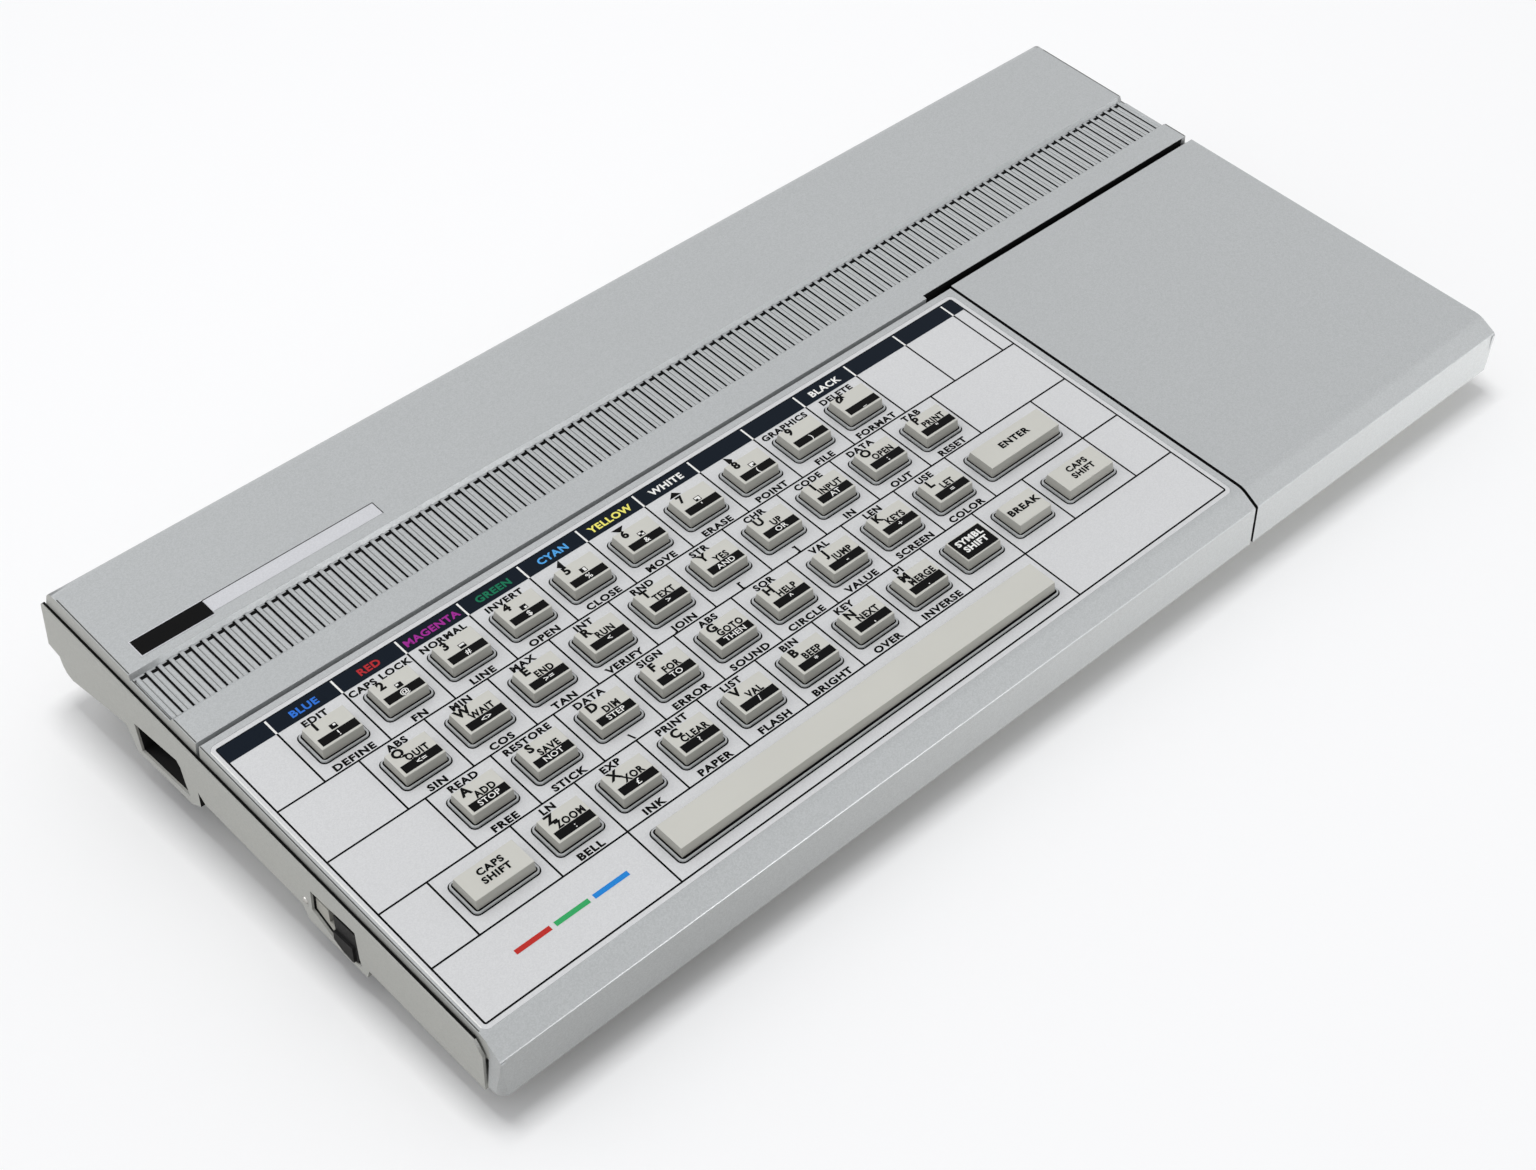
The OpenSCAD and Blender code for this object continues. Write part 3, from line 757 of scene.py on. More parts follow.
class Printing:
    """Flat shapes of ink on one level of the deck, gathered into one piece."""

    def __init__(self, name: str, level: float, press: Press, origin: Point = (0.0, 0.0)) -> None:
        """Start an empty print.

        Args:
            name: Name of the piece.
            level: Height of the ink above the deck, in millimetres.
            press: Where its inks and letters come from.
            origin: Deck point that its places are counted from.
        """
        self.name = name
        self.level = level
        self.press = press
        self.origin = origin
        self.shape = bmesh.new()
        self.inks: list[Print] = []

    def _ink(self, ink: Print) -> int:
        """Find an ink among the piece's materials, or add it.

        Args:
            ink: The ink.

        Returns:
            Its index.
        """
        if ink not in self.inks:
            self.inks.append(ink)
        return self.inks.index(ink)

    def _place(self, middle: Point, size: Point, lift: float = 0.0) -> Matrix:
        """Placement of a shape of unit size."""
        place = Matrix.Translation((self.origin[0] + middle[0], self.origin[1] + middle[1], self.level + lift))
        return place @ Matrix.Diagonal((*size, 1.0, 1.0))

    def bar(self, low: Point, high: Point, ink: Print, lift: float = 0.0) -> BMFace:
        """Print a rectangle.

        Args:
            low: Its front left corner.
            high: Its rear right corner.
            ink: Its ink.
            lift: Height above the print's level.

        Returns:
            Its face.
        """
        middle = ((low[0] + high[0]) / 2, (low[1] + high[1]) / 2)
        face = square(self.shape, self._place(middle, (high[0] - low[0], high[1] - low[1]), lift))
        face.material_index = self._ink(ink)
        return face

    def rounded(
        self, low: Point, high: Point, radius: float, ink: Print, lift: float = 0.0, rear_only: bool = False
    ) -> BMFace:
        """Print a rectangle with rounded corners.

        Args:
            low: Its front left corner.
            high: Its rear right corner.
            radius: Radius of the corners.
            ink: Its ink.
            lift: Height above the print's level.
            rear_only: Whether the front corners stay square.

        Returns:
            The face between the corners.
        """
        face = self.bar(low, high, ink, lift)
        middle = face.calc_center_median().y
        corners = [v for v in face.verts if not rear_only or v.co.y > middle]
        made = bevel(self.shape, corners, radius, 5, "VERTICES")
        face = max((f for v in made["verts"] for f in v.link_faces), key=lambda f: f.calc_area())
        face.material_index = self._ink(ink)
        return face

    def ring(self, low: Point, high: Point, radius: float, width: float, ink: Print) -> None:
        """Print the outline of a rounded rectangle.

        Args:
            low: Its front left corner.
            high: Its rear right corner.
            radius: Outer radius of the corners.
            width: Width of the line, inwards from the edge.
            ink: Its ink.
        """
        face = self.rounded(low, high, radius, ink)
        bmesh.ops.inset_individual(self.shape, faces=[face], thickness=width, use_even_offset=True)
        bmesh.ops.delete(self.shape, geom=[face], context="FACES_ONLY")

    def arrow(self, middle: Point, size: Point, degrees: float, ink: Print) -> None:
        """Print a triangle that points to the rear before it is turned.

        Args:
            middle: Its middle.
            size: Its reach from the middle, across and along.
            degrees: How far it is turned.
            ink: Its ink.
        """
        turn = Matrix.Rotation(math.radians(degrees), 4, "Z") @ Matrix.Diagonal((*size, 1.0, 1.0))
        corners = bmesh.ops.create_circle(
            self.shape, cap_ends=True, segments=3, radius=1.0, matrix=self._place(middle, (1.0, 1.0)) @ turn
        )["verts"]
        corners[0].link_faces[0].material_index = self._ink(ink)

    def words(
        self, text: str, middle: Point, height: float, ink: Print, stretch: float = 1.0, lift: float = 0.0,
        weight: float = 0.068,
    ) -> None:
        """Print generic lettering.

        Args:
            text: What it says.
            middle: Its middle.
            height: Height of the capitals.
            ink: Its ink.
            stretch: How much wider than usual it is.
            lift: Height above the print's level.
            weight: How much its strokes are thickened, in cap heights.
        """
        mesh = self.press.lettering.cut(text, weight).copy()
        mesh.transform(self._place((middle[0], middle[1] - height / 2), (height * stretch, height), lift))
        mesh.polygons.foreach_set("material_index", [self._ink(ink)] * len(mesh.polygons))
        self.shape.from_mesh(mesh)
        bpy.data.meshes.remove(mesh)

    def piece(self, body: str = "case", slot: Slot = Slot.SILVER) -> Object:
        """Finish the print as a piece.

        Args:
            body: Body that it rides on.
            slot: Material slot of its finish.

        Returns:
            The new piece.
        """
        bmesh.ops.transform(self.shape, matrix=DECK.matrix(), verts=self.shape.verts)
        self.shape.normal_update()
        down = [face for face in self.shape.faces if face.normal.z < 0]
        bmesh.ops.reverse_faces(self.shape, faces=down)
        return put(self.name, self.shape, body, slot, *(self.press.palette[ink] for ink in self.inks))


@dataclass(frozen=True)
class Key:
    """A key with its legends; places across are counted from the first key's cell."""

    node: str
    across: float
    row: int
    letter: str = ""
    word: str = ""
    symbol: str = ""
    behind: str = ""
    before: str = ""
    extra_w: float = 0.0
    extra_d: float = 0.0
    lines: tuple[str, ...] = ()
    dark: bool = False

    @property
    def middle(self) -> Point:
        """Middle of the cap on the deck."""
        return (KEYBOARD.x(self.across), KEYBOARD.row_s(self.row))


def key_row(row: int, first: float, letters: str, **prints: str) -> list[Key]:
    """Keys of one row, from its left end.

    Args:
        row: Row, counted from the rear.
        first: Place of the first key in key pitches.
        letters: One letter or digit for each key.
        **prints: Other legends of the row, one for each key and split at blanks.

    Returns:
        The keys.
    """
    legends = {name: text.split() for name, text in prints.items()}
    return [
        Key("key_" + letter.lower(), (first + i) * KEYBOARD.pitch, row, letter,
            **{name: column[i] for name, column in legends.items()})
        for i, letter in enumerate(letters)
    ]


KEYS = (
    key_row(0, 0.5, "1234567890", symbol="! @ # $ % & ' ( ) _",
            behind="EDIT CAPS|LOCK NORMAL INVERT LEFT DOWN UP RIGHT GRAPHICS DELETE",
            before="DEFINE FN LINE OPEN CLOSE MOVE ERASE POINT FILE FORMAT")
    + key_row(1, 1, "QWERTYUIOP", word="QUIT WAIT END RUN TEXT YES UP INPUT OPEN PRINT",
              symbol="<= <> >= < > AND OR AT ; \"", behind="ABS MIN MAX INT RND STR CHR CODE DATA TAB",
              before="SIN COS TAN VERIFY JOIN [ ] IN OUT RESET")
    + key_row(2, 1.25, "ASDFGHJKL", word="ADD SAVE DIM FOR GOTO HELP JUMP KEYS LET",
              symbol="STOP NOT STEP TO THEN ^ - + =", behind="READ RESTORE DATA SIGN ABS SQR VAL LEN USE",
              before="FREE STICK \\ ERROR SOUND CIRCLE VALUE SCREEN COLOR")
    + key_row(3, 1.75, "ZXCVBNM", word="ZOOM XOR CLEAR VAL BEEP NEXT MERGE", symbol=": £ ? / * , .",
              behind="LN EXP PRINT LIST BIN KEY PI", before="BELL INK PAPER FLASH BRIGHT OVER INVERSE")
    + [
        Key("key_enter", 202.4, 2, extra_w=14, lines=("ENTER",)),
        Key("key_caps_left", 11.9, 3, extra_w=5, lines=("CAPS", "SHIFT")),
        Key("key_symbol_shift", 8.75 * KEYBOARD.pitch, 3, lines=("SYMBL", "SHIFT"), dark=True),
        Key("key_break", 9.75 * KEYBOARD.pitch, 3, lines=("BREAK",)),
        Key("key_caps_right", 207.2, 3, extra_w=5, lines=("CAPS", "SHIFT")),
        Key("key_space", 109.5, 4, extra_w=113.1, extra_d=0.4),
    ]
)

# Quarters of the small block figure on the first eight keys that stay white
BLOCK_FIGURES = ((1,), (0,), (0, 1), (3,), (1, 3), (0, 3), (0, 1, 3), (0, 1, 2))
ARROWS = {"LEFT": 90.0, "DOWN": 180.0, "UP": 0.0, "RIGHT": 270.0}


@dataclass(frozen=True)
class KeyLegends:
    """Sizes and places of what is printed on a cap, from the cap's middle."""

    lift: float = 0.03
    over: float = 0.01
    letter_at: Point = (-3.1, 2.65)
    letter_h: float = 2.4
    letter_stretch: float = 1.05
    word_at: Point = (0.75, 0.2)
    word_h: float = 1.9
    word_stretch: float = 0.88
    bar_low: Point = (-5.1, -3.5)
    bar_high: Point = (5.6, -1.0)
    symbol_h: float = 1.5
    symbol_stretch: float = 1.15
    symbol_weight: float = 0.02
    line_h: float = 1.72
    line_at: tuple[Point, ...] = ((0.1, 1.6), (0.1, -1.0))
    line_stretch: float = 1.12
    single_at: Point = (0.1, 0.3)
    single_stretch: float = 1.15
    dark_half: Point = (5.55, 3.75)
    dark_corner: float = 0.3
    figure_at: Point = (0.4, 0.15)
    figure_half: Point = (0.95, 0.8)
    figure_rim: Point = (0.22, 0.2)

    def print(self, key: Key, press: Press) -> None:
        """Print one key's cap.

        Args:
            key: The key.
            press: Where its inks and letters come from.
        """
        if not (key.letter or key.lines):
            return
        art = Printing(key.node + "_legend", KEYBOARD.cap_top + self.lift, press, key.middle)
        if key.letter:
            self._letter_key(art, key)
        else:
            self._named_key(art, key)
        art.piece(key.node, Slot.KEY)

    def _letter_key(self, art: Printing, key: Key) -> None:
        """Print letter, word or block figure, and the bar with its symbol.

        Args:
            art: The print that takes them.
            key: The key.
        """
        letter = "Ø" if key.letter == "0" else key.letter
        art.words(letter, self.letter_at, self.letter_h, Print.BLACK, self.letter_stretch)
        art.bar(self.bar_low, self.bar_high, Print.BLACK)
        middle = ((self.bar_low[0] + self.bar_high[0]) / 2, (self.bar_low[1] + self.bar_high[1]) / 2)
        art.words(
            key.symbol, middle, self.symbol_h, Print.WHITE, self.symbol_stretch, self.over, self.symbol_weight
        )
        if key.word:
            art.words(key.word, self.word_at, self.word_h, Print.BLACK, self.word_stretch)
        elif key.letter in "12345678":
            self._block_figure(art, int(key.letter) - 1)

    def _block_figure(self, art: Printing, number: int) -> None:
        """Print a small black square with some quarters left white.

        Args:
            art: The print that takes them.
            number: Number of the figure, from 0.
        """
        (x, s), (half_w, half_d), (rim_w, rim_d) = self.figure_at, self.figure_half, self.figure_rim
        art.bar((x - half_w, s - half_d), (x + half_w, s + half_d), Print.BLACK)
        for quarter in BLOCK_FIGURES[number]:
            low_x = x if quarter % 2 else x - half_w + rim_w
            low_s = s if quarter < 2 else s - half_d + rim_d
            art.bar((low_x, low_s), (low_x + half_w - rim_w, low_s + half_d - rim_d), Print.WHITE, self.over)

    def _named_key(self, art: Printing, key: Key) -> None:
        """Print a word or two on a key that has no letter.

        Args:
            art: The print that takes them.
            key: The key.
        """
        ink = Print.WHITE if key.dark else Print.BLACK
        if key.dark:
            half_w, half_d = self.dark_half
            art.rounded((-half_w, -half_d), (half_w, half_d), self.dark_corner, Print.BLACK)
        if len(key.lines) == 1:
            art.words(key.lines[0], self.single_at, self.word_h, ink, self.single_stretch, self.over)
            return
        for line, middle in zip(key.lines, self.line_at):
            art.words(line, middle, self.line_h, ink, self.line_stretch, self.over)


@dataclass(frozen=True)
class OverlayPrint:
    """Grid, words and colour strip printed on the keyboard overlay."""

    line_w: float = 0.5
    lift: float = 0.03
    corner: float = 0.7
    edge_gap: float = 0.2
    # Sides of the painted highlight left of the border, on the overlay's edge, counted outwards
    edge_highlight: Point = (1.2, 0.85)
    tick_half: float = 0.27
    tick_gap: float = 0.1
    colour_h: float = 2.05
    colour_stretch: float = 1.08
    colour_weight: float = 0.05
    word_h: float = 1.85
    before_stretch: float = 1.2
    behind_stretch: float = 1.12
    arrow_x: float = -1.0
    arrow_size: Point = (2.2, 1.2)
    cells: tuple[tuple[int, tuple[float, ...]], ...] = (
        (0, tuple(19.05 * i for i in range(13))),
        (1, tuple(9.525 + 19.05 * i for i in range(11))),
        (2, tuple(14.29 + 19.05 * i for i in range(10)) + (219.08,)),
        (3, (0.0,) + tuple(23.81 + 19.05 * i for i in range(8)) + (176.21, 195.26, 219.08)),
        (4, (42.86, 176.21)),
    )
    colour_words: tuple[tuple[int, str, Print], ...] = (
        (0, "BLUE", Print.BLUE), (1, "RED", Print.RED), (2, "MAGENTA", Print.MAGENTA), (3, "GREEN", Print.GREEN),
        (4, "CYAN", Print.CYAN), (5, "YELLOW", Print.YELLOW), (6, "WHITE", Print.WHITE), (9, "BLACK", Print.WHITE),
    )
    bars: tuple[tuple[float, float, Print], ...] = (
        (2.9, 12.9, Print.BAR_RED), (14.2, 24.0, Print.BAR_GREEN), (25.35, 35.5, Print.BAR_BLUE),
    )
    bars_s: tuple[float, float] = (17.9, 19.3)
    before_s: float = -8.1
    behind_s: float = 7.5
    ring_reach: Point = (KEYBOARD.rim_reach + 0.38, KEYBOARD.rim_reach + 0.28)
    ring_corner: float = 1.75
    ring_w: float = 0.42

    def print(self, press: Press) -> None:
        """Print the overlay.

        Args:
            press: Where its inks and letters come from.
        """
        art = Printing("overlay_print", KEYBOARD.overlay_top + self.lift, press)
        self._grid(art)
        self._strip(art)
        for left, right, ink in self.bars:
            art.bar((KEYBOARD.x(left), self.bars_s[0]), (KEYBOARD.x(right), self.bars_s[1]), ink)
        for key in KEYS:
            self._round_key(art, key)
        art.piece(slot=Slot.OVERLAY)

    def _grid(self, art: Printing) -> None:
        """Print the lines between the cells and the border, and a painted highlight left of the border.

        Args:
            art: The print that takes them.
        """
        half = self.line_w / 2
        for row in range(1, 5):
            s = KEYBOARD.line_s(row)
            art.bar(
                (KEYBOARD.left + self.edge_gap, s - half), (KEYBOARD.right - self.edge_gap, s + half), Print.BLACK
            )
        for row, places in self.cells:
            low, high = max(KEYBOARD.line_s(row + 1), KEYBOARD.front + self.edge_gap), KEYBOARD.line_s(row)
            for across in places:
                x = KEYBOARD.x(across)
                art.bar((x - half, low), (x + half, high), Print.BLACK, 0.002)
        low, high = (KEYBOARD.left, KEYBOARD.front), (KEYBOARD.right, KEYBOARD.rear)
        art.ring(low, high, self.corner, self.line_w, Print.BLACK)
        # a white line left of the border is a painted highlight on the overlay's edge
        outer, inner = self.edge_highlight
        art.bar((low[0] - outer, low[1]), (low[0] - inner, high[1]), Print.WHITE)

    def _strip(self, art: Printing) -> None:
        """Print the dark strip with its ticks and colour words.

        Args:
            art: The print that takes them.
        """
        half = self.line_w / 2
        low, rear = KEYBOARD.strip_front, KEYBOARD.rear - self.line_w
        front_left, rear_right = (KEYBOARD.left + half, low), (KEYBOARD.right - half, rear + half)
        art.rounded(front_left, rear_right, self.corner - half, Print.NAVY, 0.004, True)
        for i in range(13):
            x = KEYBOARD.x(KEYBOARD.pitch * i)
            art.bar((x - self.tick_half, low), (x + self.tick_half, rear - self.tick_gap), Print.WHITE, 0.008)
        for cell, word, ink in self.colour_words:
            x = KEYBOARD.x(KEYBOARD.pitch * (cell + 0.5))
            middle = (x, (low + rear) / 2)
            art.words(word, middle, self.colour_h, ink, self.colour_stretch, 0.01, self.colour_weight)

    def _round_key(self, art: Printing, key: Key) -> None:
        """Print the words behind and in front of a key, and the dark line round its rim.

        Args:
            art: The print that takes them.
            key: The key.
        """
        art.origin = key.middle
        half_w = (KEYBOARD.cap_w + key.extra_w) / 2 + self.ring_reach[0]
        half_d = KEYBOARD.cap_d / 2 + key.extra_d + self.ring_reach[1]
        art.ring((-half_w, -half_d), (half_w, half_d), self.ring_corner, self.ring_w, Print.BLACK)
        if key.before:
            art.words(key.before, (0.0, self.before_s), self.word_h, Print.BLACK, self.before_stretch)
        if key.behind in ARROWS:
            art.arrow((self.arrow_x, self.behind_s), self.arrow_size, ARROWS[key.behind], Print.BLACK)
        elif key.behind:
            words = key.behind.replace("|", " ")
            art.words(words, (0.0, self.behind_s), self.word_h, Print.BLACK, self.behind_stretch)


@dataclass(frozen=True)
class DeckLabels:
    """Blank nameplate and blank label on the plateau, from the first cell and the strip's front."""

    level: float = 0.05
    plate: tuple[Point, Point] = ((-10.0, 41.3), (10.8, 46.9))
    label: tuple[Point, Point] = ((10.8, 42.1), (62.5, 46.8))

    def print(self, press: Press) -> None:
        """Lay both on the deck.

        Args:
            press: Where its inks and letters come from.
        """
        art = Printing("deck_labels", self.level, press, (KEYBOARD.grid_x, KEYBOARD.strip_front))
        low, high = self.plate
        art.bar((low[0] - 0.3, low[1] - 0.3), (high[0] + 0.1, high[1] + 0.3), Print.LABEL)
        art.bar(low, high, Print.BLACK, 0.03)
        low, high = self.label
        art.bar(low, high, Print.LABEL)
        art.bar((low[0], high[1] - 0.1), (high[0] + 0.2, high[1] + 0.15), Print.BLACK, 0.02)
        art.bar((high[0], low[1]), (high[0] + 0.25, high[1]), Print.BLACK, 0.02)
        art.piece()


# ---- small fittings


def spin(shape: BMesh, matrix: Matrix, outline: tuple[Point, ...], segments: int = 32) -> None:
    """Spin a closed outline of (radius, height) points about a placed Z axis.

    Args:
        shape: Mesh that takes the ring.
        matrix: Placement of the axis.
        outline: Closed outline.
        segments: Steps of the full turn.
    """
    before = set(shape.faces)
    corners = [shape.verts.new((r, 0.0, h)) for r, h in outline]
    edges = [shape.edges.new(pair) for pair in zip(corners, corners[1:] + corners[:1])]
    bmesh.ops.spin(
        shape, geom=corners + edges, cent=(0.0, 0.0, 0.0), axis=(0.0, 0.0, 1.0), angle=math.tau, steps=segments,
        use_merge=True,
    )
    made = [face for face in shape.faces if face not in before]
    for face in made:
        face.smooth = True
    bmesh.ops.transform(shape, matrix=matrix, verts=list({vert for face in made for vert in face.verts}))


@dataclass(frozen=True)
class VentRibs:
    """Raised ribs beside the cooling slots, which give the slats their louvred look."""

    first: float = KEYBOARD.grid_x - 12.4
    pitch: float = 3.17
    count: int = 112
    floor: float = -1.5
    front: float = 124.35
    rear: float = 141.1
    rise: float = 0.16
    root: float = 0.06
    shoulder: float = 0.1
    ribs: tuple[Corner, ...] = ((0.72, 1.55, 0.0), (1.9, 2.98, 1.65))
    # Painted shade in and beside one slot: from its left and to its right, front, rear, ink and lift
    shade_marks: tuple[tuple[float, float, float, float, Print, float], ...] = (
        (0.0, 0.6, 124.35, 124.75, Print.BLACK, 0.02),
        (0.0, 0.6, 140.65, 141.1, Print.BLACK, 0.02),
        (0.0, 0.6, 124.7, 140.7, Print.BLACK, -0.03),
        (-1.5, 0.0, 139.6, 140.7, Print.BLACK, -0.03),
        (-1.55, -1.35, 124.35, 139.5, Print.SHADE_GREY, 0.01),
    )

    def build(self, press: Press) -> None:
        """Make all ribs as one piece, and the painted shade in and beside the slots as another.

        Args:
            press: Where its inks and letters come from.
        """
        shape = bmesh.new()
        for left, right, shorter in self.ribs:
            self._rib(shape, self.first - self.pitch + left, self.first - self.pitch + right, self.rear - shorter)
        pattern = [*shape.verts, *shape.edges, *shape.faces]
        for i in range(1, self.count + 1):
            made = bmesh.ops.duplicate(shape, geom=pattern)["geom"]
            verts = [item for item in made if isinstance(item, BMVert)]
            bmesh.ops.translate(shape, vec=(i * self.pitch, 0.0, 0.0), verts=verts)
        bmesh.ops.transform(shape, matrix=DECK.matrix(), verts=shape.verts)
        put("vent_ribs", shape, "case", Slot.SILVER, press.palette[Slot.SILVER])
        # the slots are lined with black and grey painted shade
        dark = Printing("vent_painted_shade", self.floor, press)
        for i in range(self.count):
            dark.origin = (self.first + i * self.pitch, 0.0)
            for left, right, front, rear, ink, lift in self.shade_marks:
                dark.bar((left, front), (right, rear), ink, lift)
        dark.piece()

    def _rib(self, shape: BMesh, left: float, right: float, rear: float) -> None:
        """Add one rib with shouldered upper edges.

        Args:
            shape: Mesh that takes the rib.
            left: Its left side.
            right: Its right side.
            rear: Its rear end.
        """
        middle = ((left + right) / 2, (self.front + rear) / 2, self.floor + (self.rise - self.root) / 2)
        size = (right - left, rear - self.front, self.rise + self.root)
        verts = bmesh.ops.create_cube(
            shape, size=1.0, matrix=Matrix.Translation(middle) @ Matrix.Diagonal((*size, 1.0))
        )["verts"]
        top = [
            e for e in {edge for vert in verts for edge in vert.link_edges}
            if all(v.co.z > middle[2] for v in e.verts) and abs(e.verts[0].co.x - e.verts[1].co.x) < 1e-6
        ]
        bevel(shape, top, self.shoulder, 1)


@dataclass(frozen=True)
class SeamShade:
    """Painted shade: black in the seams between the upper shells and the lower one's lip, and along the deck's edge
    creases.
    """

    lip_front: Point = (7.9, -1.4)
    lip_rear: Point = (180.0, -5.0)
    lift: float = 0.02
    inner: float = 179.5
    outer: float = 180.15
    crease: Point = (178.6, 178.92)
    # Side, front, rear and height of each line of painted crease shade
    creases: tuple[tuple[int, float, float, float], ...] = (
        (-1, 8, 112.2, 0), (-1, 113.9, 123.2, 0), (-1, 124.5, 141.1, -1.5), (-1, 142.1, 174, 0),
        (1, 115.5, 123.2, 0), (1, 124.5, 141.1, -1.5), (1, 142.1, 174, 0),
    )

    def build(self, press: Press) -> None:
        """Make the painted shade in the seams as one piece and that along the creases as another.

        Args:
            press: Where its inks and letters come from.
        """
        run = Vector(self.lip_rear) - Vector(self.lip_front)
        middle = (Vector(self.lip_rear) + Vector(self.lip_front)) / 2
        lie = Matrix.Rotation(math.atan2(run.y, run.x), 4, "X")
        size = Matrix.Diagonal((self.outer - self.inner, run.length, 1.0, 1.0))
        # black strips in the seams, as painted shade
        shape = bmesh.new()
        for side in (-1, 1):
            across = side * (self.inner + self.outer) / 2
            square(shape, Matrix.Translation((across, middle.x, middle.y + self.lift)) @ lie @ size)
        bmesh.ops.transform(shape, matrix=DECK.matrix(), verts=shape.verts)
        put("case_seam_shade", shape, "case", Slot.LOWER, press.palette[Print.BLACK])
        # dark lines along the deck's edges, as painted crease shade
        creases = Printing("deck_crease_shade", self.lift, press)
        for side, front, rear, height in self.creases:
            left, right = sorted(side * across for across in self.crease)
            creases.bar((left, front), (right, rear), Print.CREASE_SHADE, height)
        creases.piece()


@dataclass(frozen=True)
class Rivet:
    """Domed rivet behind the power switch."""

    s: float = 70.8
    n: float = -16.0
    side_x: float = -180.6
    outline: tuple[Point, ...] = ((0.02, -0.1), (1.0, -0.1), (1.0, 0.06), (0.8, 0.3), (0.35, 0.45), (0.02, 0.47))

    def build(self, palette: Palette) -> None:
        """Make the rivet.

        Args:
            palette: The machine's finishes.
        """
        place = DECK.matrix() @ Matrix.Translation((self.side_x, self.s, self.n))
        shape = bmesh.new()
        spin(shape, place @ Matrix.Rotation(math.radians(-90), 4, "Y"), self.outline, 24)
        bmesh.ops.recalc_face_normals(shape, faces=shape.faces)
        put("switch_rivet", shape, "case", Slot.TIN, palette[Print.PLATED])


@dataclass(frozen=True)
class RearFittings:
    """Plated rings round the rear sockets and the gold contacts of the board's edge."""

    wall_y: float = 85.0
    height: float = 14.0
    phono_x: Point = (62.0, 95.0)
    phono_ring: tuple[Point, ...] = (
        (4.27, 0.0), (4.4, 0.0), (4.4, 2.8), (4.27, 3.05), (1.9, 3.12), (1.9, 3.02), (4.27, 2.9),
    )
    jack_x: Point = (30.0, 45.0)
    jack_ring: tuple[Point, ...] = (
        (1.85, -0.3), (2.95, -0.3), (2.95, 0.06), (2.8, 0.14), (1.95, 0.14), (1.85, 0.06),
    )
    contacts: int = 24
    contact_pitch: float = 2.54
    contact_at: Corner = (-65.25, 81.75, 9.63)
    contact_size: Point = (1.5, 4.9)

    def build(self, palette: Palette) -> None:
        """Make the rings and contacts.

        Args:
            palette: The machine's finishes.
        """
        shape = bmesh.new()
        for places, outline in ((self.phono_x, self.phono_ring), (self.jack_x, self.jack_ring)):
            for x in places:
                spin(shape, self._rear(x), outline)
        bmesh.ops.recalc_face_normals(shape, faces=shape.faces)
        put("socket_rings", shape, "case", Slot.SOCKET, palette[Print.PLATED])
        contacts = bmesh.new()
        for i in range(self.contacts):
            place = Matrix.Scale(MM, 4) @ Matrix.Translation(self.contact_at)
            place @= Matrix.Translation((i * self.contact_pitch, 0.0, 0.0))
            square(contacts, place @ Matrix.Diagonal((*self.contact_size, 1.0, 1.0)))
        put("edge_contacts", contacts, "case", Slot.BOARD, palette[Print.GOLD])

    def _rear(self, x: float) -> Matrix:
        """Placement of a socket's axis on the rear wall, pointing back."""
        place = Matrix.Translation((x * MM, self.wall_y * MM, self.height * MM))
        return place @ Matrix.Rotation(math.radians(-90), 4, "X") @ Matrix.Scale(MM, 4)


# ---- studio


class Aim(Enum):
    """What a lamp lights."""

    MACHINE = "EXCLUDE"
    FLOOR = "INCLUDE"


@dataclass(frozen=True)
class Lamp:
    """A soft square lamp turned towards the machine, which lights either the machine or the floor."""

    name: str
    place: Corner
    size: float
    watts: float
    aim: Aim = Aim.MACHINE
    diffuse: bool = True
    glossy: bool = True


